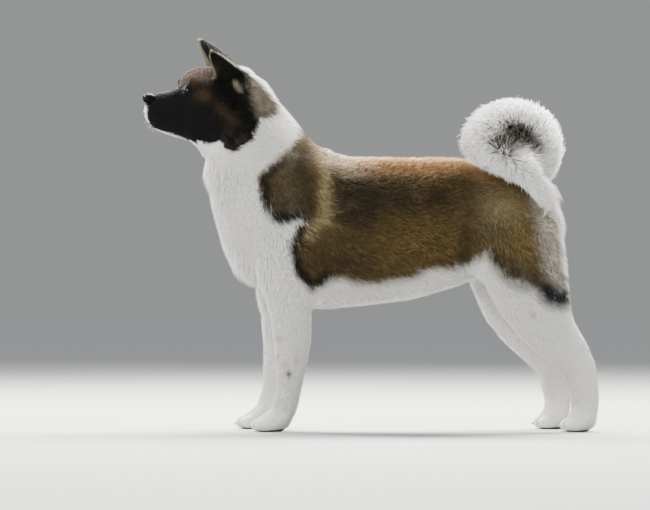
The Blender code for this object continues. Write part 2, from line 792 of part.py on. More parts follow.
def tail_rings(rows):
    """Rings of points round the tail, one at each row, square to its path."""
    rings = []
    for k, row in enumerate(rows):
        before, after = rows[max(k - 1, 0)], rows[min(k + 1, len(rows) - 1)]
        along = Vector(after[:3] - before[:3]).normalized()
        deep_way = along.cross(Vector((0, 1, 0))).normalized()
        wide_way = deep_way.cross(along)
        ring = []
        for turn in range(TAIL_SIDES):
            angle = 2 * math.pi * turn / TAIL_SIDES
            reach = deep_way * math.cos(angle) * row[3] + wide_way * math.sin(angle) * row[4]
            ring.append(Vector(row[:3]) + reach)
        rings.append(ring)
    return rings


def tube(name, rings):
    """A closed tube through rings of points, with flat ends."""
    count = len(rings[0])
    faces = []
    for ring in range(len(rings) - 1):
        for k in range(count):
            a, b = ring * count + k, ring * count + (k + 1) % count
            faces += [(a, b, b + count), (a, b + count, a + count)]
    faces.append(tuple(range(count)))
    faces.append(tuple(range((len(rings) - 1) * count, len(rings) * count)))
    made = new_object(name, [point for ring in rings for point in ring], faces)
    outward(made)
    return made


def make_tail(body_pieces):
    """The tail in several lengths; the body gives way to it where the two touch."""
    rows = tail_rows()
    rings = tail_rings(rows)
    bounds = np.linspace(0, len(rows) - 1, TAIL_LENGTHS + 1).round().astype(int)
    pieces = []
    for number, (first, last) in enumerate(zip(bounds[:-1], bounds[1:]), start=1):
        run = rings[first:last + 1]
        if number > 1:
            step = Vector(rows[first + 1][:3] - rows[first][:3]).normalized() * GAP
            run = [[point + step for point in run[0]]] + run[1:]
        pieces.append(tube(f"tail_{number}", run))
        seat(pieces[-1], body_pieces)
    return pieces


# ---- Finish ----

def look_for(name):
    if name == "nose":
        return "nose_leather"
    if name.startswith("eye"):
        return "eye_glass"
    if "claw" in name:
        return "claw_horn"
    if name in ("head", "lower_jaw") or name.startswith("ear"):
        return "coat_dark"
    if name in ("chest", "loin", "croup") or name.startswith("thigh"):
        return "coat_brown"
    return "coat_white"


def centre_all(pieces):
    """Puts the origin under the middle of the dog, on the floor."""
    corners = np.array([tuple(v.co) for piece in pieces for v in piece.data.vertices])
    low, high = corners.min(axis=0), corners.max(axis=0)
    shift = Vector((-(low[0] + high[0]) / 2, -(low[1] + high[1]) / 2, -low[2]))
    for piece in pieces:
        piece.data.transform(Matrix.Translation(shift))


def main():
    clear_scene()
    looks = make_looks()
    flesh = make_flesh()
    pieces = part_legs(flesh)
    pieces += part_trunk(flesh)
    named = {piece.name: piece for piece in pieces}
    near_tail = [named["croup"], named["loin"], named["thigh_left"], named["thigh_right"]]
    pieces += make_tail(near_tail)
    pieces += part_head(named["head"], named["neck"])
    pieces.append(part_jaw(named["head"]))
    pieces += part_claws(named)
    centre_all(pieces)
    for piece in pieces:
        drop_crumbs(piece)
        piece.data.materials.clear()
        piece.data.materials.append(looks[look_for(piece.name)])
        for face in piece.data.polygons:
            face.use_smooth = True


if __name__ == "__main__":
    main()
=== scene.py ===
"""The young Akita as a museum model: one skin over the flesh, and a coat of solid tufts over the skin.

Metres, +Z up. The dog faces -X with its left side towards -Y. Places "in the body" are measured from
the origin that the solids were made around. Places "in the head" are those of the head before it
turns and tilts. A share runs from 0 to 1.
"""
import math

import bmesh
import bpy
import numpy as np
from mathutils import Matrix, Vector
from mathutils.bvhtree import BVHTree
from mathutils.kdtree import KDTree


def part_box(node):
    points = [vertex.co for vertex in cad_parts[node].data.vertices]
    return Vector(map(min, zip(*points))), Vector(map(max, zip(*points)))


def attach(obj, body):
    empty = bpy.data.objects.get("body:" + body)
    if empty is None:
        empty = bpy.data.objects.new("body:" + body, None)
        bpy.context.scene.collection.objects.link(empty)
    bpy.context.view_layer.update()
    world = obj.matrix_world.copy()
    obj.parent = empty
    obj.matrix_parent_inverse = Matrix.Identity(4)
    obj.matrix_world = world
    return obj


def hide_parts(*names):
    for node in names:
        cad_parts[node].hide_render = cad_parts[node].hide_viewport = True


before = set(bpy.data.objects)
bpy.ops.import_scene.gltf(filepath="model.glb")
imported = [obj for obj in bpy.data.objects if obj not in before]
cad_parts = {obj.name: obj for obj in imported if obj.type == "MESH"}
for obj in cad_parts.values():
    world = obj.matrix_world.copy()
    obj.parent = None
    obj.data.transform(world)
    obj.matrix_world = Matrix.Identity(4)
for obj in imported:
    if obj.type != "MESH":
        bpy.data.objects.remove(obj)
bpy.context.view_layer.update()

SEED = 11
LEFT, RIGHT = -1.0, 1.0
SIDES = {"left": LEFT, "right": RIGHT}      # the sign of y on each

# ---- Where things are ----

HEAD_PIVOT = Vector((-0.300, 0.0, 0.650))
HEAD_TURN = Matrix.Rotation(math.radians(13), 4, "Z") @ Matrix.Rotation(math.radians(15), 4, "X")
EYE_IN_HEAD = Vector((-0.3775, -0.0350, 0.6855))
EYE_RADIUS = 0.0104


def middle(node):
    """Middle of a solid's box."""
    low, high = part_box(node)
    return (low + high) / 2


def head_to_body():
    """The turn and tilt of the head about its pivot."""
    return Matrix.Translation(HEAD_PIVOT) @ HEAD_TURN @ Matrix.Translation(-HEAD_PIVOT)


SHIFT = middle("eye_left") - head_to_body() @ EYE_IN_HEAD
BODY = Matrix.Translation(SHIFT)
HEAD = BODY @ head_to_body()


def moved(points, matrix):
    """Points through a matrix."""
    m = np.array(matrix)
    return points @ m[:3, :3].T + m[:3, 3]


def from_head(ways):
    """Directions in the head, as they are in the scene."""
    return ways @ np.array(HEAD)[:3, :3].T


def to_head(ways):
    """Directions in the scene, as they are in the head."""
    return ways @ np.array(HEAD)[:3, :3]


def in_body(points):
    """Points of the scene as places in the body."""
    return points - np.array(SHIFT)


def in_head(points):
    """Points of the scene as places in the head."""
    return moved(points, HEAD.inverted())


def smooth(value, low, high):
    """0 below low, 1 above high, and a soft step between them."""
    share = np.clip((value - low) / (high - low), 0, 1)
    return share * share * (3 - 2 * share)


def fade(value, low, high):
    """1 below low, 0 above high, and a soft step between them."""
    return 1 - smooth(value, low, high)


def unit(vectors):
    """Vectors drawn out or in to length 1."""
    return vectors / np.maximum(np.linalg.norm(vectors, axis=-1, keepdims=True), 1e-12)


def mix(first, second, share):
    """Blends two values or rows of values, by one share or one for each row."""
    share = np.asarray(share)
    if np.ndim(first) + np.ndim(second) > 2 * np.ndim(share):
        share = share[..., None]
    return first + (second - first) * share


def soft_noise(points, size, seed, waves=14):
    """Smooth noise of about -1 to 1 whose lumps are about one size across."""
    rng = np.random.default_rng(seed)
    ways = unit(rng.normal(size=(waves, 3))) * rng.uniform(0.6, 1.6, (waves, 1))
    phase = rng.uniform(0, 2 * math.pi, waves)
    total = np.sin(points @ ways.T * (2 * math.pi / (2 * size)) + phase)
    return total.sum(axis=1) / math.sqrt(waves) * 1.2


# ---- Mesh helpers ----

def link(name, data):
    """A new object in the scene."""
    made = bpy.data.objects.new(name, data)
    bpy.context.scene.collection.objects.link(made)
    return made


def new_object(name, vertices, faces):
    """An object made of points and faces."""
    mesh = bpy.data.meshes.new(name)
    mesh.from_pydata(np.asarray(vertices).tolist(), [], faces)
    mesh.update()
    return link(name, mesh)


def from_shape(name, shape):
    """An object made of a bmesh, which is freed."""
    mesh = bpy.data.meshes.new(name)
    shape.to_mesh(mesh)
    shape.free()
    return link(name, mesh)


def ring_faces(rings, count):
    """Quads between closed rings of points that follow one another."""
    faces = []
    for start in range(0, (rings - 1) * count, count):
        for k in range(count):
            a, b = start + k, start + (k + 1) % count
            faces.append((a, b, b + count, a + count))
    return faces


def settle(thing, merge=0.0):
    """Merges points closer than a distance, and turns the faces outward."""
    shape = bmesh.new()
    shape.from_mesh(thing.data)
    if merge:
        bmesh.ops.remove_doubles(shape, verts=shape.verts, dist=merge)
    bmesh.ops.recalc_face_normals(shape, faces=shape.faces)
    shape.to_mesh(thing.data)
    shape.free()
    return thing


def apply_modifiers(thing):
    """Puts the mesh that the modifiers make in the object's own place."""
    graph = bpy.context.evaluated_depsgraph_get()
    settled = bpy.data.meshes.new_from_object(thing.evaluated_get(graph))
    thing.modifiers.clear()
    old = thing.data
    thing.data = settled
    bpy.data.meshes.remove(old)


def remesh(thing, voxel):
    """A new, even surface round everything in the object."""
    modifier = thing.modifiers.new("voxels", "REMESH")
    modifier.mode = "VOXEL"
    modifier.voxel_size = voxel
    apply_modifiers(thing)


def vertices_of(mesh):
    found = np.empty(len(mesh.vertices) * 3, np.float32)
    mesh.vertices.foreach_get("co", found)
    return found.reshape(-1, 3).astype(float)


def set_vertices(mesh, vertices):
    """Moves a mesh's vertices."""
    mesh.vertices.foreach_set("co", vertices.astype(np.float32).ravel())
    mesh.update()


def edges_of(mesh):
    found = np.empty(len(mesh.edges) * 2, np.int32)
    mesh.edges.foreach_get("vertices", found)
    return found.reshape(-1, 2)


def triangles_of(mesh):
    mesh.calc_loop_triangles()
    found = np.empty(len(mesh.loop_triangles) * 3, np.int32)
    mesh.loop_triangles.foreach_get("vertices", found)
    return found.reshape(-1, 3)


def gather(index, values, count):
    """Sum of rows of values at each index."""
    return np.stack([np.bincount(index, values[:, k], count) for k in range(3)], axis=1)


def normals_of(vertices, triangles):
    """The way out of the surface at each vertex."""
    corners = vertices[triangles]
    face = np.cross(corners[:, 1] - corners[:, 0], corners[:, 2] - corners[:, 0])
    return unit(sum(gather(triangles[:, k], face, len(vertices)) for k in range(3)))


def relax(vertices, edges, rounds, share=0.5):
    """Each vertex moves a share of the way to the middle of its neighbours, over and over."""
    count = len(vertices)
    ends = np.concatenate([edges, edges[:, ::-1]])
    number = np.maximum(np.bincount(ends[:, 0], minlength=count), 1)[:, None]
    share = np.reshape(share, (-1, 1)) if np.ndim(share) else share
    for _ in range(rounds):
        mean = gather(ends[:, 0], vertices[ends[:, 1]], count) / number
        vertices = vertices + (mean - vertices) * share
    return vertices


# ---- Skin ----

FLESH = ["head", "lower_jaw", "neck", "chest", "loin", "croup"]
for side_word in SIDES:
    FLESH += [f"shoulder_{side_word}", f"thigh_{side_word}"]
    FLESH += [f"front_{side_word}_{part}" for part in ("forearm", "pastern", "paw")]
    FLESH += [f"hind_{side_word}_{part}" for part in ("lower_leg", "pastern", "paw")]
TAIL = [f"tail_{number}" for number in range(1, 6)]
EARS = ["ear_left", "ear_right"]
CLAWS = sorted(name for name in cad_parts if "claw" in name)

FIRST_VOXEL, SKIN_VOXEL = 0.0030, 0.0021
MERGE = 1e-5                    # points of the solids closer than this are one
COAT_SHARE = 0.28               # most of the flesh's own thickness that the coat may take
RAY_LIFT = 0.0015               # a ray through the flesh starts this far under its surface
THICKEST = 0.1                  # the thickness is measured up to here
RELAX_SHARE = 0.6               # of the way to its neighbours' middle, for a point on a seat
SEAT_ROUNDS = {"tail": 60, "ears": 50, "rump": 110, "hock": 40}     # of relaxing
DEPTH_ROUNDS = 12               # of relaxing the coat's depth
SKIN_STEPS = 5                  # in which the skin moves in by the coat's depth
FILL_STEPS, SKULL_STEPS, SKULL_SIDES = 4, 6, 32

# Tail bone: the middle line that the lengths of tail follow, and the thickness of its flesh. It leaves
# the croup, runs round a ring of the curl, and ends over the left thigh.
TAIL_CENTRE = (0.279, 0.5645)
TAIL_RING = 0.0595
TAIL_TURN = (math.radians(-78), math.radians(172))
TAIL_DRIFT = (0.010, -0.036)            # how far the ring drifts to the left
DRIFT_START = 0.35                      # and from which share of it
TAIL_START = ((0.262, 0.004, 0.455), (0.250, 0.004, 0.492))
TAIL_END = (
    (0.235, -0.058, 0.551),
    (0.265, -0.076, 0.532),
    (0.298, -0.087, 0.507),
    (0.329, -0.092, 0.479),
    (0.345, -0.092, 0.462),
)
TAIL_FLESH = (0.023, 0.022, 0.020, 0.017, 0.013, 0.008)


def curve_through(points, steps):
    """A smooth line through rows of numbers, with some steps from each to the next."""
    points = np.array(points, float)
    padded = np.vstack([2 * points[0] - points[1], points, 2 * points[-1] - points[-2]])
    out = []
    for before, start, end, after in zip(padded[:-3], padded[1:-2], padded[2:-1], padded[3:]):
        for t in np.arange(steps) / steps:
            out.append(
                start
                + 0.5 * t * (end - before)
                + t**2 * (before - 2.5 * start + 2 * end - 0.5 * after)
                + t**3 * (-0.5 * before + 1.5 * start - 1.5 * end + 0.5 * after)
            )
    out.append(points[-1])
    return np.array(out)


def tail_line(steps=4):
    """The tail's middle line in the body, from inside the croup to the tip."""
    rows = list(TAIL_START)
    for share in np.arange(8) / 7:
        angle = TAIL_TURN[0] + share * (TAIL_TURN[1] - TAIL_TURN[0])
        bend = (max(0.0, share - DRIFT_START) / (1 - DRIFT_START)) ** 1.5
        rows.append((
            TAIL_CENTRE[0] + TAIL_RING * math.cos(angle),
            TAIL_DRIFT[0] + (TAIL_DRIFT[1] - TAIL_DRIFT[0]) * bend,
            TAIL_CENTRE[1] + TAIL_RING * math.sin(angle),
        ))
    rows += TAIL_END
    return curve_through(rows, steps)


def tube(name, line, radii, sides=16):
    """A closed tube along a line; radii are one number, or depth and width, at each point."""
    vertices = []
    radii = np.array(radii, float)
    radii = np.stack([radii, radii], axis=1) if radii.ndim == 1 else radii
    for k, spot in enumerate(line):
        along = unit(line[min(k + 1, len(line) - 1)] - line[max(k - 1, 0)])
        first = unit(np.cross(along, (0.0, 1.0, 0.0)))
        second = np.cross(first, along)
        for turn in range(sides):
            angle = 2 * math.pi * turn / sides
            reach = first * math.cos(angle) * radii[k, 0] + second * math.sin(angle) * radii[k, 1]
            vertices.append(spot + reach)
    faces = ring_faces(len(line), sides)
    centres = len(vertices)
    last = centres - sides
    for turn in range(sides):
        after = (turn + 1) % sides
        faces += [(centres, after, turn), (centres + 1, last + turn, last + after)]
    return settle(new_object(name, vertices + [line[0], line[-1]], faces))


# Depth of the coat over the skin, in metres, at heights up a leg and at places along the head.
LEG_DEPTH = (
    (0.0, 0.0015), (0.03, 0.0025), (0.06, 0.0040), (0.14, 0.0060), (0.24, 0.0090), (0.34, 0.0140),
)
HEAD_DEPTH = (
    (-0.46, 0.0010), (-0.41, 0.0016), (-0.37, 0.0022), (-0.33, 0.0045), (-0.29, 0.0090),
)
BODY_DEPTH, EAR_DEPTH = 0.0160, 0.0020


def table_value(rows, at):
    """Second column of a table where its first column has a value, in straight steps between rows."""
    rows = np.array(rows)
    return np.interp(at, rows[:, 0], rows[:, 1])


def ear_share(points):
    """1 on the ears and 0 away from them."""
    found = np.zeros(len(points))
    for word in SIDES:
        low, high = (np.array(corner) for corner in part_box(f"ear_{word}"))
        inside = np.all((points > low - 0.004) & (points < high + 0.004), axis=1)
        found = np.maximum(found, inside * smooth(in_head(points)[:, 2], 0.716, 0.732))
    return found


def head_share(points):
    """1 on the head, fading to 0 over the start of the neck."""
    spot = in_head(points)
    ahead = smooth(-spot[:, 0] - 0.55 * (spot[:, 2] - 0.650), 0.262, 0.300)
    return ahead * smooth(spot[:, 2], 0.530, 0.570)


def coat_depth(points):
    """How deep the coat is over the skin at each point."""
    depth = np.minimum(table_value(LEG_DEPTH, in_body(points)[:, 2]), BODY_DEPTH)
    depth = mix(depth, table_value(HEAD_DEPTH, in_head(points)[:, 0]), head_share(points))
    return mix(depth, EAR_DEPTH, ear_share(points))


def joined(names, name):
    """One object made of some of the solids."""
    shape = bmesh.new()
    for node in names:
        shape.from_mesh(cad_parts[node].data)
    bmesh.ops.remove_doubles(shape, verts=shape.verts, dist=MERGE)
    return from_shape(name, shape)


TAIL_LINE = tail_line() + np.array(SHIFT)
TAIL_HUB = np.array(SHIFT) + (TAIL_CENTRE[0], 0.0, TAIL_CENTRE[1])


def tail_place(points):
    """Distance to the tail's middle line, the way it runs there, and how far along it that is."""
    ways = unit(np.gradient(TAIL_LINE, axis=0))
    away = np.linalg.norm(points[:, None] - TAIL_LINE[None], axis=2)
    nearest = away.argmin(axis=1)
    return away.min(axis=1), ways[nearest], nearest / (len(TAIL_LINE) - 1)


# Flesh that fills the seats between solids. Along a croup, thigh or hind leg, x, y, z, half height and
# half width in the body.
CROUP_FILL = (
    (0.150, 0.0, 0.418, 0.128, 0.086),
    (0.240, 0.0, 0.426, 0.112, 0.084),
    (0.290, 0.0, 0.414, 0.094, 0.078),
    (0.326, 0.0, 0.396, 0.068, 0.060),
)
THIGH_FILL = (
    (0.282, 0.056, 0.425, 0.084, 0.031),
    (0.292, 0.060, 0.365, 0.093, 0.039),
    (0.312, 0.065, 0.300, 0.079, 0.039),
)
TOE_FLESH = (0.0200, 0.0086, 0.0125)    # a toe's half length, half width and half height
TOE_BEHIND_CLAW = 0.0178                # from the middle of a claw back to the middle of its toe
SKULL = (               # x, height of its middle, half height and half width, in the head
    (-0.352, 0.671, 0.050, 0.046),
    (-0.333, 0.673, 0.057, 0.054),
    (-0.318, 0.660, 0.071, 0.064),
    (-0.292, 0.651, 0.080, 0.070),
    (-0.262, 0.649, 0.078, 0.068),
)
LEAN = {LEFT: (0.0, 0.0), RIGHT: (-0.008, -0.044)}     # of a hind leg's middle line, top to hock
HINDLEG_FILL = (
    (0.310, 0.060, 0.295, 0.083, 0.040),
    (0.332, 0.062, 0.236, 0.066, 0.037),
    (0.357, 0.066, 0.198, 0.050, 0.031),
    (0.384, 0.070, 0.165, 0.040, 0.026),
)


def fill_pieces():
    """Flesh inside the solids, over their seats: croup, thighs, hind legs and skull."""
    rows = [CROUP_FILL]
    for side in SIDES.values():
        rows.append([(x, side * y, *rest) for x, y, *rest in THIGH_FILL])
        start, end = LEAN[side]
        heights = [row[2] for row in HINDLEG_FILL]
        lean = np.interp(heights, (heights[-1], heights[0]), (end, start))
        rows.append([(x + off, side * y, *rest) for (x, y, *rest), off in zip(HINDLEG_FILL, lean)])
    made = []
    for run in rows:
        line = curve_through(run, FILL_STEPS)
        made.append(tube("fill", line[:, :3] + np.array(SHIFT), line[:, 3:]))
    line = curve_through([(x, 0.0, *rest) for x, *rest in SKULL], SKULL_STEPS)
    made.append(tube("fill", moved(line[:, :3], HEAD), line[:, 3:], SKULL_SIDES))
    return made


def toe_pieces():
    """A rounded toe behind each claw."""
    made = []
    for name in CLAWS:
        place = middle(name)
        spot = Vector((place.x + TOE_BEHIND_CLAW, place.y, TOE_FLESH[2]))
        shape = bmesh.new()
        bmesh.ops.create_uvsphere(shape, u_segments=24, v_segments=16, radius=1.0)
        shape.transform(Matrix.Translation(spot) @ Matrix.Diagonal((*TOE_FLESH, 1.0)))
        made.append(from_shape("toe", shape))
    return made


def add_shapes(thing, others):
    """Joins other pieces into one, and takes them away."""
    shape = bmesh.new()
    shape.from_mesh(thing.data)
    for other in others:
        shape.from_mesh(other.data)
    shape.to_mesh(thing.data)
    shape.free()
    for other in others:
        bpy.data.objects.remove(other)


def thickness(vertices, triangles, inward):
    """How far it is through the flesh from each vertex, up to a limit."""
    surface = BVHTree.FromPolygons(vertices.tolist(), triangles.tolist())
    found = np.full(len(vertices), THICKEST)
    starts = vertices + inward * RAY_LIFT
    for k, (start, way) in enumerate(zip(starts.tolist(), inward.tolist())):
        hit = surface.ray_cast(start, way, THICKEST)[3]
        if hit is not None:
            found[k] = hit + RAY_LIFT
    return found


def shrink(thing):
    """Smooths away the seats of tail, ears and hind legs, then moves the skin in by the coat's depth."""
    vertices = vertices_of(thing.data)
    triangles, edges = triangles_of(thing.data), edges_of(thing.data)
    near_tail = np.zeros(len(vertices))
    close = vertices[:, 0] > 0.15
    near_tail[close] = fade(tail_place(vertices[close])[0], 0.055, 0.085)
    vertices = relax(vertices, edges, 2)
    vertices = relax(vertices, edges, SEAT_ROUNDS["tail"], RELAX_SHARE * near_tail)
    crown = in_head(vertices)
    seats = smooth(crown[:, 2], 0.680, 0.700) * smooth(crown[:, 0], -0.352, -0.335)
    seats = RELAX_SHARE * seats * fade(crown[:, 0], -0.235, -0.215)
    vertices = relax(vertices, edges, SEAT_ROUNDS["ears"], seats)
    body = in_body(vertices)
    rump = smooth(body[:, 0], 0.25, 0.30) * fade(np.abs(body[:, 1]), 0.060, 0.095)
    rump *= smooth(body[:, 2], 0.17, 0.22)
    vertices = relax(vertices, edges, SEAT_ROUNDS["rump"], RELAX_SHARE * rump)
    hock = smooth(body[:, 0], 0.28, 0.31) * smooth(body[:, 2], 0.20, 0.23)
    hock = hock * fade(body[:, 2], 0.31, 0.35)
    vertices = relax(vertices, edges, SEAT_ROUNDS["hock"], RELAX_SHARE * hock)
    through = thickness(vertices, triangles, -normals_of(vertices, triangles))
    depth = np.minimum(coat_depth(vertices), COAT_SHARE * through)
    depth = relax(np.repeat(depth[:, None], 3, axis=1), edges, DEPTH_ROUNDS)[:, :1]
    sole = smooth(vertices[:, 2], 0.002, 0.008)[:, None]
    for _ in range(SKIN_STEPS):
        inward = normals_of(vertices, triangles)
        vertices = vertices - inward * depth / SKIN_STEPS * sole
        vertices = relax(vertices, edges, 1, 0.3)
    set_vertices(thing.data, vertices)


def make_skin():
    """One closed skin under the coat, over body, tail and toes, without the ears."""
    made = joined(FLESH + ["eye_left", "eye_right"], "skin")
    add_shapes(made, fill_pieces())
    remesh(made, FIRST_VOXEL)
    shrink(made)
    ends = np.linspace(0, 1, len(TAIL_FLESH))
    radii = np.interp(np.linspace(0, 1, len(TAIL_LINE)), ends, TAIL_FLESH)
    tail = tube("tail_flesh", TAIL_LINE, radii)
    add_shapes(made, [tail, *toe_pieces()])
    remesh(made, SKIN_VOXEL)
    vertices = relax(vertices_of(made.data), edges_of(made.data), 3)
    set_vertices(made.data, vertices)
    return made


def refine(thing, chosen):
    """Splits each face whose middle is chosen into four."""
    shape = bmesh.new()
    shape.from_mesh(thing.data)
    shape.faces.ensure_lookup_table()
    middles = np.array([face.calc_center_median() for face in shape.faces])
    marked = chosen(middles)
    edges = {edge for face, mark in zip(shape.faces, marked) if mark for edge in face.edges}
    bmesh.ops.subdivide_edges(shape, edges=list(edges), cuts=1, use_grid_fill=True)
    bmesh.ops.triangulate(shape, faces=[face for face in shape.faces if len(face.verts) > 4])
    shape.to_mesh(thing.data)
    shape.free()


# ---- Eyes, lids, lips, stop and toes in the skin ----

GAZE = unit(np.array((-0.800, 0.590, 0.110)))       # the way the right eye looks, in the head
EYE_SLANT = math.radians(14)    # the outer corner is higher
LID_CORNER = math.radians(50)   # from the middle of the eye to its corners
LID_UPPER = math.radians(17)
LID_LOWER = math.radians(14)
EYE_SINK = 0.0046
EYE_HOLLOW = 0.0030             # the skin passes this far under the eye's surface


def eye_frame(side):
    """Centre of an eye in the head, and the ways it looks, runs to its outer corner, and up."""
    gaze = GAZE * (1, side, 1)
    centre = np.array(EYE_IN_HEAD) * (1, -side, 1) - gaze * EYE_SINK
    across = unit(np.cross(gaze, (0, 0, 1.0))) * side
    up = unit(np.cross(across, gaze)) * side
    turn = EYE_SLANT
    outer = across * math.cos(turn) + up * math.sin(turn)
    return centre, gaze, outer, unit(up * math.cos(turn) - across * math.sin(turn))


def lid_edges(across):
    """Angles above and below the eye's middle at which the lids end, for angles across it."""
    arch = np.clip(1 - (across / LID_CORNER) ** 2, 0, 1)
    return LID_UPPER * arch**0.75, -LID_LOWER * arch**0.9


LID_REACH = math.radians(34)    # how far the lids spread over the skin round the opening
LID_PUSH = math.radians(25)     # the skin passes under the lids up to here
LID_STEPS = 30
LID_RINGS = (                   # share of the reach, and height over the eyeball
    (-0.02, 0.00005),
    (0.0, 0.0007),
    (0.05, 0.0012),
    (0.14, 0.0014),
)
LID_FAR_RINGS = (0.28, 0.42, 0.58, 0.74, 0.90, 1.0)
LID_CREASE = (0.42, 0.10, 0.0006)       # its share of the reach, its width there, and its depth
LID_TUCK = 0.0010                       # the lids' outer edge lies this far under the skin


def eye_angles(spots, side):
    """Distance from the eye's centre, and angles across and up from the way it looks."""
    centre, gaze, outer, up = eye_frame(side)
    away = spots - centre
    distance = np.maximum(np.linalg.norm(away, axis=1), 1e-9)
    ways = away / distance[:, None]
    forward, sideways, height = ways @ gaze, ways @ outer, ways @ up
    return distance, ways, np.arctan2(sideways, forward), np.arcsin(np.clip(height, -1, 1))


def past_lids(across, rise):
    """Angle by which a direction lies outside the opening, below zero inside it."""
    top, bottom = lid_edges(across)
    beyond = np.abs(across) - LID_CORNER
    edge = np.maximum(rise - top, bottom - rise)
    return np.where(beyond > 0, np.hypot(beyond, rise), edge)


def from_eyes(spots):
    """Distance of spots in the head from the nearer eye's middle."""
    centres = [eye_frame(side)[0] for side in (LEFT, RIGHT)]
    return np.min([np.linalg.norm(spots - centre, axis=1) for centre in centres], axis=0)


def sink_under_lids(spots):
    """Skin in the eye's opening and under the lids passes below the eyeball's surface."""
    for side in (LEFT, RIGHT):
        distance, ways, across, rise = eye_angles(spots, side)
        under = (distance < 2.2 * EYE_RADIUS) & (np.abs(across) < math.pi / 2)
        under &= past_lids(across, rise) < LID_PUSH
        radius = np.minimum(distance, EYE_RADIUS - EYE_HOLLOW)
        spots[under] = eye_frame(side)[0] + ways[under] * radius[under, None]
    return spots


def lid_loop():
    """The opening's edge as angles across and up, and the way out of it at each."""
    turn = np.arange(LID_STEPS * 2) * math.pi / LID_STEPS
    across = -LID_CORNER * np.cos(turn)
    top, bottom = lid_edges(across)
    loop = np.stack([across, np.where(turn < math.pi, top, bottom)], axis=1)
    along = np.roll(loop, -1, axis=0) - np.roll(loop, 1, axis=0)
    out = unit(np.stack([-along[:, 1], along[:, 0]], axis=1))
    radial = unit(loop)
    out *= np.sign((out * radial).sum(axis=1))[:, None]
    return loop, unit(out + radial)


def lids(surface):
    """Upper and lower lids of both eyes, one ring-shaped strip each, laid on the head's surface."""
    made = []
    loop, out = lid_loop()
    for side in (LEFT, RIGHT):
        centre, gaze, outer, up = eye_frame(side)
        rows = []
        shares = [share for share, _ in LID_RINGS] + list(LID_FAR_RINGS)
        for number, share in enumerate(shares):
            angle = loop + out * share * LID_REACH
            level = gaze * np.cos(angle[:, :1]) + outer * np.sin(angle[:, :1])
            ways = level * np.cos(angle[:, 1:]) + up * np.sin(angle[:, 1:])
            if number < len(LID_RINGS):
                radius = np.full(len(ways), EYE_RADIUS + LID_RINGS[number][1])
            else:
                radius = []
                for way in ways:
                    hit = surface.ray_cast(Vector(centre), Vector(way), 0.04)[3]
                    radius.append(hit if hit else EYE_RADIUS)
                blend = smooth(np.array(share), LID_RINGS[-1][0], 0.9)
                near = EYE_RADIUS + LID_RINGS[-1][1]
                radius = near + (np.array(radius) - near) * blend
                radius = np.maximum(radius, EYE_RADIUS + 0.0009 * (1 - blend) + 0.0002)
                radius -= LID_TUCK * (share == 1.0)
                radius -= LID_CREASE[2] * math.exp(-(((share - LID_CREASE[0]) / LID_CREASE[1]) ** 2))
            rows.append(centre + ways * radius[:, None])
        vertices = moved(np.concatenate(rows), HEAD)
        made.append(new_object("lids", vertices, ring_faces(len(rows), 2 * LID_STEPS)))
    return made


MOUTH_LINE = ((-0.452, 0.6300), (-0.430, 0.6195), (-0.405, 0.6135), (-0.380, 0.6135), (-0.366, 0.6175))
MOUTH_DEPTH, MOUTH_WIDTH = 0.0013, 0.0016
MUZZLE_SLIM = 0.13              # share of the muzzle's width that its front loses
LIP_SWELL = 0.0005
BROW_FURROW, FURROW_WIDTH = 0.0022, 0.0045
LIP_GROOVE, GROOVE_WIDTH = 0.0015, 0.0012       # under the nose


def mouth_gap(spots):
    """How near each spot is to the line of the mouth, from 1 on it to 0, and its height over it."""
    over = spots[:, 2] - table_value(MOUTH_LINE, spots[:, 0])
    back = fade(spots[:, 0], -0.372, -0.364)
    return np.exp(-((over / MOUTH_WIDTH) ** 2)) * back, over


def shape_face(spots, outward):
    """Slims the muzzle, and carves the mouth, the furrow over the stop and the groove under the nose."""
    slim = smooth(-spots[:, 0], 0.386, 0.420) * fade(spots[:, 2], 0.672, 0.690)
    spots = spots.copy()
    spots[:, 1] *= 1 - MUZZLE_SLIM * slim
    gap, over = mouth_gap(spots)
    spots = spots - outward * (gap * MOUTH_DEPTH)[:, None]
    lip = np.exp(-(((over - 0.004) / 0.0035) ** 2)) * fade(spots[:, 0], -0.385, -0.370)
    spots = spots + outward * (lip * LIP_SWELL)[:, None]
    furrow = np.exp(-((spots[:, 1] / FURROW_WIDTH) ** 2)) * smooth(spots[:, 2], 0.69, 0.70)
    furrow *= smooth(spots[:, 0], -0.392, -0.375) * fade(spots[:, 0], -0.325, -0.300)
    spots = spots - outward * (furrow * BROW_FURROW)[:, None]
    groove = np.exp(-((spots[:, 1] / GROOVE_WIDTH) ** 2)) * fade(spots[:, 0], -0.440, -0.430)
    groove *= fade(spots[:, 2], 0.652, 0.656) * (spots[:, 2] > 0.626)
    return spots - outward * (groove * LIP_GROOVE)[:, None]


TOE_GROOVE, TOE_GROOVE_WIDTH = 0.0036, 0.0022
PAW_HEIGHT = 0.05
BODY_SKIN_FACES = 50000         # triangles left to the skin away from the head and paws


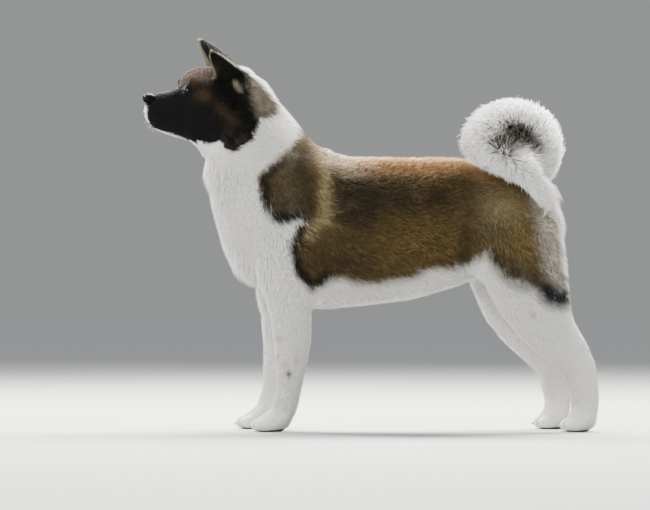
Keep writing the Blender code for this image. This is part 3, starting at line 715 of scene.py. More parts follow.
def shape_toes(vertices, outward):
    """Grooves between the toes, midway between neighbouring claws."""
    for end in ("front", "hind"):
        for word in SIDES:
            claws = [middle(f"{end}_{word}_claw_{number}") for number in range(1, 5)]
            back = max(claw.x for claw in claws)
            for first, second in zip(claws[:-1], claws[1:]):
                y = (first.y + second.y) / 2
                near = (np.abs(vertices[:, 1] - y) < 0.012) & (vertices[:, 2] < PAW_HEIGHT)
                near &= (vertices[:, 0] > back - 0.03) & (vertices[:, 0] < back + 0.05)
                spots = vertices[near]
                depth = np.exp(-(((spots[:, 1] - y) / TOE_GROOVE_WIDTH) ** 2))
                depth *= fade(spots[:, 0], back + 0.018, back + 0.040)
                depth *= fade(spots[:, 2], 0.026, 0.040)
                vertices[near] = spots - outward[near] * (depth * TOE_GROOVE)[:, None]
    return vertices


def face_detail(points):
    """Places where the skin needs its finest faces: round the eyes and along the mouth."""
    spots = in_head(points)
    over = np.abs(spots[:, 2] - table_value(MOUTH_LINE, spots[:, 0]))
    mouth = (over < 0.007) & (spots[:, 0] < -0.362) & (spots[:, 2] < 0.66)
    return mouth | (from_eyes(spots) < 0.020)


def eye_detail(points):
    """Places nearer the eyes, which are refined once more."""
    return from_eyes(in_head(points)) < 0.0165


def sculpt(thing):
    """Carves face and toes, sinks the skin round the eyes and makes the lids to lay over it."""
    refine(thing, face_detail)
    refine(thing, eye_detail)
    vertices = vertices_of(thing.data)
    triangles = triangles_of(thing.data)
    outward = normals_of(vertices, triangles)
    vertices = shape_toes(vertices, outward)
    head = head_share(vertices) > 0.5
    spots = shape_face(in_head(vertices[head]), to_head(outward[head]))
    vertices[head] = moved(spots, HEAD)
    index = np.cumsum(head) - 1
    faces = index[triangles[head[triangles].all(axis=1)]]
    surface = BVHTree.FromPolygons(spots.tolist(), faces.tolist())
    strips = lids(surface)
    vertices[head] = moved(sink_under_lids(spots), HEAD)
    set_vertices(thing.data, vertices)
    return strips


def lighten(thing):
    """Fewer faces in the skin away from the head and paws, where the coat hides it."""
    vertices = vertices_of(thing.data)
    fine = (head_share(vertices) > 0.3) | (vertices[:, 2] < PAW_HEIGHT)
    group = thing.vertex_groups.new(name="free")
    group.add(np.where(~fine)[0].tolist(), 1.0, "REPLACE")
    group.add(np.where(fine)[0].tolist(), 0.0, "REPLACE")
    triangles = triangles_of(thing.data)
    fine_count = fine[triangles].all(axis=1).sum()
    modifier = thing.modifiers.new("thin", "DECIMATE")
    modifier.ratio = min(1.0, (fine_count + BODY_SKIN_FACES) / len(triangles))
    modifier.vertex_group = "free"
    apply_modifiers(thing)
    thing.vertex_groups.clear()


# Ears: cupped triangles in the head, hollow towards the front and outward.
EAR_ROOT = np.array((-0.290, 0.0560, 0.7100))
EAR_TIP = np.array((-0.3390, 0.0640, 0.7710))
EAR_HALF_WIDTH = 0.0362
EAR_CUP = 0.0200
EAR_THICKNESS = 0.0062
EAR_TAPER = 0.60
EAR_TIP_SHARE = 0.10
EAR_TURN = math.radians(42)
EAR_TOP = 0.985                 # the last ring's height, as a share of the ear's length
EAR_LEVELS, EAR_POINTS = 30, 17


def ear_axes():
    """Ways up an ear, out of its hollow, and across it, in the right side of the head."""
    up = unit(EAR_TIP - EAR_ROOT)
    facing = np.array((-math.cos(EAR_TURN), math.sin(EAR_TURN), 0.0))
    facing = unit(facing - up * facing.dot(up))
    return up, facing, np.cross(up, facing)


def ear_flesh(side):
    """One ear: crescent rings from its root to its rounded tip."""
    up, facing, across = ear_axes()
    length = np.linalg.norm(EAR_TIP - EAR_ROOT)
    angles = np.linspace(0, math.pi, EAR_POINTS)
    vertices = []
    for level in 1 - 1.28 * (np.linspace(1, 0, EAR_LEVELS) ** 1.3):
        taper = max(EAR_TIP_SHARE, (1 - max(level, 0.0)) ** EAR_TAPER)
        tuck = 1 - 0.50 * float(smooth(0.20 - level, 0.0, 0.48))
        width, cup = EAR_HALF_WIDTH * taper * tuck, EAR_CUP * taper * tuck
        thick = EAR_THICKNESS * (0.55 + 0.45 * taper)
        spot = EAR_ROOT + up * length * min(level, EAR_TOP)
        for back, edge, points in ((thick / 2, 0.0, angles), (-thick / 2, 0.35, angles[-2:0:-1])):
            for angle in points:
                sideways = -math.cos(angle) * (width - thick * edge)
                behind = -math.sin(angle) * (cup + back) + thick * 0.3
                vertices.append(spot + across * sideways + facing * behind)
    count = 2 * EAR_POINTS - 2
    last = (EAR_LEVELS - 1) * count
    faces = ring_faces(EAR_LEVELS, count) + [(last, last + 1, last + count - 1)]
    for k in range(1, EAR_POINTS - 2):
        faces.append((last + k, last + k + 1, last + count - k - 2, last + count - k - 1))
    return settle(new_object("ear_flesh", moved(np.array(vertices) * (1, side, 1), HEAD), faces))


# ---- Markings, with painted light and shade ----

WHITE = np.array((0.80, 0.79, 0.76))
# pale cream with a painted highlight, for the withers
CREAM_HIGHLIGHT = np.array((0.66, 0.58, 0.46))
FAWN = np.array((0.34, 0.215, 0.095))
GOLD = np.array((0.200, 0.132, 0.040))
BROWN = np.array((0.106, 0.073, 0.029))
DARK_BROWN = np.array((0.036, 0.027, 0.015))
# rust brown lightened by painted backlight, for the back's top
RUST_AND_BACKLIGHT = np.array((0.440, 0.220, 0.085))
BLACK = np.array((0.0046, 0.0042, 0.0043))
BLUE_BLACK = np.array((0.016, 0.017, 0.023))
GREY_TAN = np.array((0.205, 0.178, 0.130))
OLIVE_TAN = np.array((0.320, 0.250, 0.125))
# painted rim light of the backlight on the back's top
BACK_RIM_LIGHT = np.array((0.580, 0.385, 0.170))
ASH = np.array((0.480, 0.450, 0.380))
RED_BROWN = np.array((0.072, 0.034, 0.014))
TAIL_DARK = np.array((0.072, 0.060, 0.046))

# Outlines seen from the side: x and z of the body.
SADDLE = (
    (-0.143, 0.658), (-0.143, 0.582), (-0.158, 0.567), (-0.172, 0.550), (-0.186, 0.540),
    (-0.201, 0.528), (-0.217, 0.512), (-0.225, 0.501), (-0.223, 0.477), (-0.221, 0.461),
    (-0.217, 0.445), (-0.211, 0.431), (-0.201, 0.420), (-0.189, 0.412), (-0.176, 0.408),
    (-0.162, 0.410), (-0.150, 0.414), (-0.142, 0.414), (-0.144, 0.404), (-0.150, 0.392),
    (-0.158, 0.378), (-0.162, 0.362), (-0.162, 0.349), (-0.160, 0.335), (-0.154, 0.323),
    (-0.148, 0.309), (-0.142, 0.298), (-0.132, 0.288), (-0.123, 0.280), (-0.113, 0.278),
    (-0.093, 0.290), (-0.073, 0.298), (-0.053, 0.300), (-0.040, 0.294), (-0.024, 0.286),
    (0.016, 0.282), (0.056, 0.288), (0.075, 0.298), (0.095, 0.306), (0.115, 0.316),
    (0.135, 0.320), (0.175, 0.320), (0.187, 0.316), (0.198, 0.333), (0.213, 0.341),
    (0.226, 0.345), (0.238, 0.325), (0.248, 0.315), (0.258, 0.303), (0.267, 0.296),
    (0.281, 0.288), (0.295, 0.282), (0.310, 0.280), (0.320, 0.274), (0.330, 0.262),
    (0.340, 0.254), (0.350, 0.248), (0.364, 0.242), (0.376, 0.242), (0.397, 0.246),
    (0.415, 0.250), (0.440, 0.450), (0.440, 0.660),
)
BREECH = (
    (0.354, 0.470), (0.354, 0.427), (0.363, 0.414), (0.371, 0.388), (0.375, 0.359),
    (0.377, 0.319), (0.387, 0.280), (0.440, 0.280), (0.440, 0.470),
)
STRIPE = ((-0.091, 0.530), (-0.091, 0.418), (-0.105, 0.418), (-0.123, 0.388))
# A line of painted shade in the fold in front of the thigh.
FLANK_FOLD_SHADE = ((0.191, 0.388), (0.180, 0.335))
TAIL_MARK = (
    (0.232, 0.572), (0.244, 0.590), (0.262, 0.605), (0.280, 0.613), (0.296, 0.611),
    (0.313, 0.603), (0.328, 0.589), (0.338, 0.571), (0.343, 0.549), (0.326, 0.556),
    (0.312, 0.557), (0.301, 0.552), (0.281, 0.548), (0.268, 0.553), (0.238, 0.561),
)
# Outlines of the head's mask, x and z before the head turns.
MASK = (
    (-0.470, 0.655), (-0.4550, 0.626), (-0.4460, 0.608), (-0.424, 0.597), (-0.405, 0.591),
    (-0.384, 0.585), (-0.370, 0.580), (-0.355, 0.584), (-0.334, 0.586), (-0.316, 0.593),
    (-0.311, 0.591), (-0.305, 0.579), (-0.293, 0.575), (-0.280, 0.578), (-0.265, 0.589),
    (-0.251, 0.603), (-0.244, 0.618), (-0.242, 0.630), (-0.235, 0.639), (-0.219, 0.638),
    (-0.201, 0.644), (-0.192, 0.655), (-0.197, 0.663), (-0.212, 0.683), (-0.229, 0.703),
    (-0.243, 0.716), (-0.255, 0.727), (-0.230, 0.760), (-0.230, 0.860), (-0.490, 0.860),
    (-0.490, 0.655),
)
CAP = (
    (-0.242, 0.640), (-0.235, 0.639), (-0.219, 0.638), (-0.201, 0.644), (-0.192, 0.655),
    (-0.197, 0.663), (-0.212, 0.683), (-0.229, 0.703), (-0.243, 0.716), (-0.262, 0.716),
    (-0.258, 0.690), (-0.250, 0.662),
)
STOP_BAND = ((-0.376, 0.704), (-0.368, 0.712), (-0.352, 0.721), (-0.331, 0.728))
CHEEK_STRIP = ((-0.317, 0.659), (-0.289, 0.634))
EAR_FRONT_PALE = ((-0.284, 0.704), (-0.277, 0.692))
# Small marks: x, z, half length, half height, and how strongly they show.
BODY_TICKS = (
    (-0.164, 0.114, 0.006, 0.006, 0.95), (-0.184, 0.183, 0.006, 0.006, 0.35),
    (-0.190, 0.148, 0.006, 0.006, 0.35), (-0.174, 0.134, 0.005, 0.005, 0.35),
    (-0.150, 0.140, 0.005, 0.005, 0.35), (0.318, 0.229, 0.006, 0.006, 0.40),
)


def from_outline(points, outline):
    """How far each point lies inside a closed outline; below zero outside it."""
    corners = np.array(outline)
    best = np.full(len(points), np.inf)
    within = np.zeros(len(points), bool)
    for start, end in zip(corners, np.roll(corners, -1, axis=0)):
        along = end - start
        away = points - start
        share = np.clip(away @ along / max(along @ along, 1e-12), 0, 1)
        best = np.minimum(best, np.hypot(*(away - share[:, None] * along).T))
        if start[1] != end[1]:
            crossed = (start[1] > points[:, 1]) != (end[1] > points[:, 1])
            at = start[0] + (points[:, 1] - start[1]) * along[0] / along[1]
            within ^= crossed & (points[:, 0] < at)
    return np.where(within, best, -best)


def from_line(points, line):
    """Distance of each point from an open line."""
    best = np.full(len(points), np.inf)
    for start, end in zip(np.array(line)[:-1], np.array(line)[1:]):
        along = end - start
        share = np.clip((points - start) @ along / (along @ along), 0, 1)
        best = np.minimum(best, np.hypot(*(points - start - share[:, None] * along).T))
    return best


def blot(points, x, z, long, high):
    """1 in the middle of a soft oval seen from the side, falling to 0 round it."""
    return np.exp(-(((points[:, 0] - x) / long) ** 2) - ((points[:, 1] - z) / high) ** 2)


def body_colour(spots, outward):
    """White below, and a saddle of brown, gold and black over back, shoulder and thigh."""
    flat = spots[:, [0, 2]]
    x, z = flat.T
    ragged = 0.0016 * soft_noise(spots, 0.007, 3) + 0.0020 * soft_noise(spots, 0.018, 4)
    depth = from_outline(flat, SADDLE) + ragged
    soft = fade(z, 0.300, 0.345)
    soft = np.maximum(soft, smooth(x, 0.19, 0.22) * fade(z, 0.36, 0.40))
    soft = soft * smooth(x, -0.11, -0.06)
    saddle = np.clip((depth + 0.005 + 0.007 * soft) / (0.012 + 0.014 * soft), 0, 1)
    outer = outward[:, 1] * np.sign(spots[:, 1])
    low = fade(z, 0.395, 0.425)
    saddle = saddle * (1 - low * smooth(-outer, -0.05, 0.25))
    saddle = saddle * (1 - smooth(-outward[:, 2], 0.45, 0.75) * fade(z, 0.32, 0.37))
    tone = np.tile(BROWN * 1.05, (len(spots), 1))
    patchy = 0.5 + 0.5 * np.clip(soft_noise(spots, 0.030, 5), -1, 1)
    tone = mix(tone, GOLD, np.clip(0.45 * blot(flat, 0.085, 0.375, 0.110, 0.070), 0, 1))
    tone = mix(tone, DARK_BROWN, np.clip(1.05 * blot(flat, -0.025, 0.455, 0.062, 0.070), 0, 0.9))
    streak = np.clip(0.95 * blot(flat, 0.105, 0.460, 0.120, 0.034), 0, 0.9)
    tone = mix(tone, DARK_BROWN, streak * (0.4 + 0.6 * patchy))
    tone = mix(tone, DARK_BROWN, 0.55 * blot(flat, -0.060, 0.330, 0.070, 0.030))
    tone = mix(tone, OLIVE_TAN * 1.2, 0.85 * fade(from_line(flat, STRIPE), 0.002, 0.024))
    shoulder = fade(x + 0.2 * (z - 0.45), -0.124, -0.100)
    tone = mix(tone, DARK_BROWN * 1.15, shoulder * 0.80 * smooth(z, 0.40, 0.43))
    tone = mix(tone, OLIVE_TAN * 0.38, shoulder * 0.90 * blot(flat, -0.168, 0.478, 0.034, 0.046))
    mottled = shoulder * fade(depth, 0.014, 0.040) * smooth(z, 0.49, 0.52)
    tone = mix(tone, GREY_TAN * 1.1, 0.85 * mottled * patchy)
    rim = fade(depth, 0.010, 0.028) * fade(x, -0.10, -0.05)
    tone = mix(tone, BLACK * 1.4, rim * 0.90 * fade(z, 0.515, 0.545))
    thigh = smooth(x + 0.15 * (z - 0.40), 0.195, 0.235)
    tone = mix(tone, OLIVE_TAN * 0.46, thigh * (0.70 + 0.20 * patchy))
    tone = mix(tone, OLIVE_TAN, thigh * 0.7 * blot(flat, 0.268, 0.445, 0.045, 0.035))
    tone = mix(tone, GOLD * 1.15, thigh * 0.60 * blot(flat, 0.308, 0.378, 0.034, 0.042))
    tone = mix(tone, ASH, thigh * 0.92 * smooth(x + 0.15 * (z - 0.33), 0.318, 0.358))
    hem = fade(depth, 0.016, 0.046) * smooth(x, 0.205, 0.250)
    hem *= fade(z, 0.325, 0.385)
    tone = mix(tone, DARK_BROWN * 1.6, 0.80 * hem)
    tone = mix(tone, BLUE_BLACK, np.clip(1.25 * hem, 0, 1) * smooth(x, 0.320, 0.345))
    # Painted shade along the fold in front of the thigh.
    tone = mix(tone, DARK_BROWN, 0.50 * fade(from_line(flat, FLANK_FOLD_SHADE), 0.002, 0.028))
    # Rust brown along the back's top where the skin faces up: partly the coat's own colour, partly painted
    # backlight on the hair.
    top = smooth(outward[:, 2], 0.45, 0.92) * smooth(z, 0.44, 0.49)
    tone = mix(tone, RUST_AND_BACKLIGHT, 0.66 * top * (0.70 + 0.30 * patchy) * smooth(x, -0.15, -0.05))
    # Painted rim light: a pale gold glow where the back's top faces straight up.
    backlit_crest = smooth(outward[:, 2], 0.72, 0.95) * smooth(z, 0.46, 0.50)
    tone = mix(tone, BACK_RIM_LIGHT, 0.60 * backlit_crest)
    # A cream patch on the withers where the skin faces up: partly the coat's own pale colour, partly a
    # painted highlight.
    withers_highlight = 0.95 * smooth(outward[:, 2], 0.35, 0.75) * blot(flat, -0.058, 0.60, 0.050, 0.09)
    tone = mix(tone, CREAM_HIGHLIGHT * 1.25, withers_highlight)
    breech = smooth(from_outline(flat, BREECH) + ragged, -0.004, 0.006)
    coat = mix(np.tile(WHITE, (len(spots), 1)), tone, saddle)
    pad = smooth(-outward[:, 2], 0.60, 0.85) * fade(spots[:, 2], 0.007, 0.012)
    coat = mix(coat, BLACK * 4, pad)
    coat = mix(coat, WHITE * 0.96, breech * saddle)
    edge = np.exp(-((depth / 0.007) ** 2)) * 0.35 * smooth(z, 0.44, 0.5)
    coat = mix(coat, FAWN, edge * saddle)
    left = spots[:, 1] < 0
    for *place, strength in BODY_TICKS:
        tick = strength * left * blot(flat, *place) * smooth(outer, 0.0, 0.3)
        coat = mix(coat, BLACK * 2, tick)
    return coat, saddle * (1 - breech)


def head_colour(spots, outward):
    """A black mask with warm brown over the stop and cheek, a grey cap, and a white throat."""
    flat = spots[:, [0, 2]]
    x, z = flat.T
    ragged = 0.0022 * soft_noise(spots, 0.006, 6) + 0.0022 * soft_noise(spots, 0.014, 7)
    mask = smooth(from_outline(flat, MASK) + ragged, -0.003, 0.004)
    inner = smooth(-outward[:, 2], 0.70, 0.92) * fade(z, 0.60, 0.63)
    mask = mask * (1 - inner * fade(x, -0.40, -0.36))
    front = smooth(-outward[:, 0], 0.72, 0.90) * fade(z, 0.640, 0.650)
    mask = mask * (1 - front * smooth(-x, 0.432, 0.442))
    tone = np.tile(BLACK * 1.15, (len(spots), 1))
    patchy = 0.5 + 0.5 * np.clip(soft_noise(spots, 0.012, 8), -1, 1)
    band = fade(from_line(flat, STOP_BAND), 0.002, 0.022)
    tone = mix(tone, RED_BROWN, 0.50 * band * (0.60 + 0.40 * patchy))
    tone = mix(tone, FAWN * 0.30, 0.42 * blot(flat, -0.347, 0.681, 0.016, 0.014))
    tone = mix(tone, FAWN * 0.24, 0.36 * fade(from_line(flat, CHEEK_STRIP), 0.0, 0.020))
    pale = fade(from_line(flat, EAR_FRONT_PALE), 0.002, 0.009) * (ear_height(spots) < 0.05)
    tone = mix(tone, GREY_TAN * 1.7, 0.70 * pale)
    cap = smooth(from_outline(flat, CAP) + ragged, -0.010, 0.018)
    rise, edge = ear_place(spots)
    cap = cap * fade(rise, 0.0, 0.05)
    tone = mix(tone, GREY_TAN * 1.45, 0.85 * cap * (0.60 + 0.40 * patchy))
    ruff = blot(flat, -0.283, 0.600, 0.030, 0.022)
    tone = mix(tone, GREY_TAN * 0.5, 0.35 * ruff * patchy)
    # A pale grey-tan band on the ears' edges and tips: partly their own paler hair, partly painted
    # backlight through the hair.
    rim = smooth(edge, 0.84, 0.97) * smooth(rise, 0.22, 0.42) + smooth(rise, 0.93, 1.0)
    tone = mix(tone, GREY_TAN * 1.1, 0.75 * np.clip(rim, 0, 1))
    tone = mix(tone, BLACK * 0.8, fade(from_eyes(spots), 0.0125, 0.0200))
    nape = smooth(x, -0.278, -0.262) * fade(np.abs(spots[:, 1] + 0.002), 0.009, 0.019)
    mask = mask * (1 - nape * smooth(z, 0.640, 0.655))
    return tone, mask * smooth(-x, 0.165, 0.185)


def ear_place(spots):
    """How far up an ear each spot lies, and how far from its middle to its edge, both from 0 to 1.

    Off the ears the first is 0.
    """
    up, facing, across = ear_axes()
    mirrored = spots.copy()
    mirrored[:, 1] = np.abs(spots[:, 1])
    away = mirrored - EAR_ROOT
    rise = away @ up / np.linalg.norm(EAR_TIP - EAR_ROOT)
    half = EAR_HALF_WIDTH * np.maximum(EAR_TIP_SHARE, (1 - np.clip(rise, 0, EAR_TOP)) ** EAR_TAPER)
    edge = np.abs(away @ across) / half
    depth = away @ facing
    on = (rise < 1.1) & (edge < 1.25) & (depth < 0.007) & (depth > -EAR_CUP - 0.008)
    return np.clip(rise, 0, 1) * on, edge


def ear_height(spots):
    """How far up an ear each spot lies."""
    return ear_place(spots)[0]


def coat_colour(points, outward):
    """Colour of the coat, and how much of its hair is banded dark at the tip."""
    trunk, dark_trunk = body_colour(in_body(points), outward)
    skull, dark_skull = head_colour(in_head(points), to_head(outward))
    tone, dark = mix(trunk, skull, dark_skull), mix(dark_trunk, 0.35, dark_skull)
    on_tail = tail_share(points)
    plume, mark = tail_colour(points)
    return mix(tone, plume, on_tail), mix(dark, mark, on_tail)


def tail_colour(points):
    """White, with a dark grey-brown crescent inside the curl."""
    flat = in_body(points)[:, [0, 2]]
    ragged = 0.003 * soft_noise(points, 0.010, 9)
    mark = smooth(from_outline(flat, TAIL_MARK) + ragged, -0.010, 0.009)
    return mix(np.tile(WHITE, (len(points), 1)), TAIL_DARK, mark * 0.92), mark * 0.3


def tail_share(points):
    """1 on the flesh of the tail, 0 off it."""
    found = np.zeros(len(points))
    close = in_body(points)[:, 0] > 0.17
    away, _, along = tail_place(points[close])
    radius = np.interp(along, np.linspace(0, 1, len(TAIL_FLESH)), TAIL_FLESH)
    found[close] = fade(away - radius, 0.002, 0.007) * smooth(along, 0.09, 0.16)
    return found


# ---- Lie of the coat ----

TAIL_FAN = 0.85         # how far the tail's hair turns from along the tail to straight out of its curl
PLUME_SIDE = unit(np.array((0.70, 0.0, 0.71)))      # the fuller side of the tail's end

# Places and the way the hair runs there, for the left and right sides alike.
BODY_LIE = (
    ((-0.26, 0.07, 0.62), (0.45, 0.05, -0.90)), ((-0.30, 0.00, 0.58), (0.35, 0.0, -0.94)),
    ((-0.27, 0.00, 0.48), (0.25, 0.0, -0.97)), ((-0.23, 0.00, 0.36), (0.60, 0.0, -0.80)),
    ((-0.20, 0.00, 0.66), (0.65, 0.0, -0.76)), ((-0.13, 0.00, 0.57), (0.90, 0.0, -0.35)),
    ((-0.20, 0.08, 0.55), (0.55, 0.0, -0.83)), ((-0.17, 0.10, 0.45), (0.50, 0.1, -0.86)),
    ((0.00, 0.00, 0.555), (1.0, 0.0, -0.05)), ((0.15, 0.00, 0.555), (1.0, 0.0, 0.0)),
    ((0.00, 0.10, 0.42), (0.95, 0.0, -0.30)), ((0.12, 0.09, 0.42), (0.95, 0.0, -0.30)),
    ((-0.08, 0.10, 0.38), (0.85, 0.0, -0.50)), ((0.10, 0.09, 0.34), (0.93, 0.0, -0.36)),
    ((0.00, 0.04, 0.26), (0.85, 0.1, -0.50)), ((0.14, 0.03, 0.30), (0.85, 0.1, -0.45)),
    ((-0.16, 0.10, 0.33), (0.35, 0.0, -0.94)), ((-0.16, 0.07, 0.20), (0.12, 0.0, -1.0)),
    ((-0.18, 0.07, 0.10), (0.05, 0.0, -1.0)), ((-0.22, 0.07, 0.03), (-0.8, 0.0, -0.5)),
    ((0.27, 0.00, 0.53), (0.90, 0.0, -0.40)), ((0.35, 0.03, 0.42), (0.35, 0.0, -0.93)),
    ((0.28, 0.10, 0.38), (0.45, 0.0, -0.90)), ((0.33, 0.10, 0.28), (0.50, 0.0, -0.87)),
    ((0.38, 0.06, 0.33), (0.35, 0.0, -0.93)), ((0.20, 0.09, 0.30), (0.35, 0.0, -0.90)),
    ((0.38, 0.07, 0.17), (0.40, 0.0, -0.90)), ((0.42, 0.07, 0.09), (0.05, 0.0, -1.0)),
    ((0.39, 0.07, 0.03), (-0.8, 0.0, -0.5)),
)
HEAD_LIE = (
    ((-0.42, 0.0, 0.675), (1.0, 0.0, 0.10)), ((-0.38, 0.0, 0.690), (0.85, 0.0, 0.50)),
    ((-0.34, 0.0, 0.735), (0.90, 0.0, 0.40)), ((-0.29, 0.0, 0.735), (1.0, 0.0, -0.10)),
    ((-0.42, 0.03, 0.64), (0.97, 0.0, -0.20)), ((-0.40, 0.03, 0.615), (0.90, 0.0, -0.40)),
    ((-0.43, 0.0, 0.600), (0.90, 0.0, -0.30)), ((-0.35, 0.05, 0.65), (0.95, 0.0, -0.30)),
    ((-0.33, 0.06, 0.61), (0.80, 0.0, -0.60)), ((-0.28, 0.08, 0.61), (0.70, 0.1, -0.70)),
    ((-0.37, 0.035, 0.70), (0.60, 0.2, 0.75)), ((-0.31, 0.07, 0.69), (1.0, 0.0, -0.20)),
    ((-0.26, 0.05, 0.70), (0.80, 0.0, -0.60)), ((-0.36, 0.0, 0.585), (0.85, 0.0, -0.50)),
)


def blend_lie(spots, table):
    """Inverse-distance blend of a table's directions, mirrored for the left side."""
    sign = np.where(spots[:, 1] < 0, -1.0, 1.0)
    mirrored = spots.copy()
    mirrored[:, 1] *= sign
    places = np.array([place for place, _ in table])
    ways = unit(np.array([way for _, way in table]))
    away = ((mirrored[:, None] - places[None]) ** 2).sum(axis=2)
    blended = unit((1 / (away + 1e-5) ** 2) @ ways)
    blended[:, 1] *= sign
    return blended


def lie_of_coat(points, outward):
    """The way the hair runs along the skin at each point."""
    trunk = blend_lie(in_body(points), BODY_LIE)
    spots = in_head(points)
    skull = from_head(blend_lie(spots, HEAD_LIE))
    way = unit(mix(trunk, skull, head_share(points)))
    up = ear_axes()[0]
    side = np.sign(spots[:, 1])
    ear_way = np.stack([np.full(len(points), up[0]), up[1] * side, np.full(len(points), up[2])], axis=1)
    way = unit(mix(way, from_head(ear_way), smooth(ear_height(spots), 0.03, 0.30)))
    on_tail = tail_share(points)
    tails = on_tail > 0.01
    from_hub = unit((points[tails] - TAIL_HUB) * (1, 0, 1))
    _, along, share = tail_place(points[tails])
    fan = (TAIL_FAN * smooth(share, 0.15, 0.30))[:, None]
    way[tails] = unit(mix(way[tails], unit(along * (1 - 0.6 * fan) + from_hub * fan), on_tail[tails]))
    return unit(way - outward * (way * outward).sum(axis=1)[:, None])


# ---- Tufts ----

TUFT_SINK = 0.0010                      # roots lie this far under the skin
TUFT_FLAT = 0.42
EAR_HAIR = (0.0016, 0.0070)             # height and length
TAIL_HAIR = (0.021, 0.033)              # least and most height
HUB_HAIR = 0.054                        # height inside the curl, where it reaches the hub
PATCH = 0.0030                          # side of a tuft's patch in the UV map
BODY_COVER, FACE_COVER, LEG_COVER, TAIL_COVER = 1.515, 1.20, 1.78, 7.7     # tufts' area per area of skin
SHORT_HAIR = 0.0125                     # tufts up to this long are straight
KINDS = ((), (0.45,), (0.32, 0.66))     # places of the rings between root and tip: short, long, tail
MOST_IN_PIECE = (48000, 19500, 12200)   # tufts of each kind
RING_CORNERS = ((0.5, -0.35), (0.0, 0.65), (-0.5, -0.35))          # aside and up, in widths
RING_WIDTHS = {1: (1.0,), 2: (1.0, 0.82), 3: (0.9, 1.0, 0.72)}     # from the root on, by number of rings
LOCK = 11                               # tufts to a lock, drawn to the same one
DARKEST = 0.003                         # no hair is darker than this
SABLE, SABLE_SHARE = 0.75, 0.34         # black in a dark hair's tip, and the share of hairs that have it
BARE_ROUND_CLAW = 0.0052
BARE_ROUND_NOSE = 1.12                  # times the nose's own size


def flesh_room(points):
    """How far the solids' own surface lies over each point of the skin."""
    surface = bmesh.new()
    for node in FLESH + TAIL + EARS:
        surface.from_mesh(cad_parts[node].data)
    tree = BVHTree.FromBMesh(surface)
    found = np.array([tree.find_nearest(point, 0.05)[3] or 0.05 for point in points.tolist()])
    surface.free()
    return found


def eye_opening(points):
    """True in the openings of the lids."""
    spots = in_head(points)
    found = np.zeros(len(points), bool)
    for side in (LEFT, RIGHT):
        distance, _, across, rise = eye_angles(spots, side)
        near = (distance < 1.6 * EYE_RADIUS) & (np.abs(across) < 1.4)
        found |= near & (past_lids(across, rise) < 0.10)
    return found


def claw_distance(points):
    """Distance from the nearest claw's middle."""
    return np.min([np.linalg.norm(points - np.array(middle(claw)), axis=1) for claw in CLAWS], axis=0)


def sample_skin(vertices, triangles, density, rng):
    """Roots spread over the skin: their triangles and places in them."""
    corners = vertices[triangles]
    across = np.cross(corners[:, 1] - corners[:, 0], corners[:, 2] - corners[:, 0])
    total = np.cumsum(np.linalg.norm(across, axis=1) / 2 * density)
    count = int(total[-1])
    at = (np.arange(count) + rng.uniform(0, 1, count)) * total[-1] / count
    chosen = np.minimum(np.searchsorted(total, at), len(triangles) - 1)
    one, two = rng.uniform(0, 1, (2, count))
    flip = one + two > 1
    one, two = np.where(flip, 1 - one, one), np.where(flip, 1 - two, two)
    return chosen, np.stack([1 - one - two, one, two], axis=1)


def build_tufts(name, spine, width, flat, outward, tones, patches):
    """One mesh of closed, tapered, three-sided tufts.

    spine holds each tuft's middle line, sunken root first and tip last. A tuft is flat times as high
    as it is wide. Its colour runs from the first of the tones to the second, and in the UV map it
    fills the patch round its own place.
    """
    count, rings = spine.shape[0], spine.shape[1] - 1
    verts = np.empty((count, rings * 3 + 1, 3))
    colours = np.empty((count, rings * 3 + 1, 3))
    uvs = np.empty((count, rings * 3 + 1, 2))
    for ring in range(rings):
        before, after = spine[:, max(ring - 1, 0)], spine[:, ring + 1]
        along = unit(after - before)
        over = unit(outward - along * (outward * along).sum(axis=1)[:, None])
        side = np.cross(along, over)
        swell, share = RING_WIDTHS[rings][ring], ring / rings
        for k, (aside, rise) in enumerate(RING_CORNERS):
            corner = ring * 3 + k
            reach = side * (aside * width * swell)[:, None]
            reach += over * (rise * flat * width * swell)[:, None]
            verts[:, corner] = spine[:, ring] + reach
            colours[:, corner] = tones[0] + (tones[1] - tones[0]) * share
            uvs[:, corner] = patches + ((k / 2 - 0.5) * PATCH, (share - 0.5) * PATCH)
    verts[:, -1], colours[:, -1] = spine[:, -1], tones[1]
    uvs[:, -1] = patches + (0, 0.5 * PATCH)
    last = (rings - 1) * 3
    faces = ring_faces(rings, 3) + [(last + k, last + (k + 1) % 3, rings * 3) for k in range(3)]
    faces = [face[::-1] for face in [*faces, (2, 1, 0)]]     # outward
    loops = np.concatenate(faces)[None] + (np.arange(count) * verts.shape[1])[:, None]
    sizes = np.array([len(face) for face in faces])
    starts = np.cumsum(sizes) - sizes
    starts = (starts[None] + (np.arange(count) * sizes.sum())[:, None]).ravel()
    mesh = bpy.data.meshes.new(name)
    mesh.vertices.add(count * verts.shape[1])
    mesh.vertices.foreach_set("co", verts.astype(np.float32).ravel())
    mesh.loops.add(loops.size)
    mesh.loops.foreach_set("vertex_index", loops.astype(np.int32).ravel())
    mesh.polygons.add(len(starts))
    mesh.polygons.foreach_set("loop_start", starts.astype(np.int32))
    mesh.update(calc_edges=True)
    mesh.polygons.foreach_set("use_smooth", np.ones(len(starts), bool))
    layer = mesh.uv_layers.new(name="OFBake")
    layer.data.foreach_set("uv", uvs.reshape(-1, 2)[loops.ravel()].astype(np.float32).ravel())
    made = link(name, mesh)
    paint(made, colours.reshape(-1, 3))
    return made


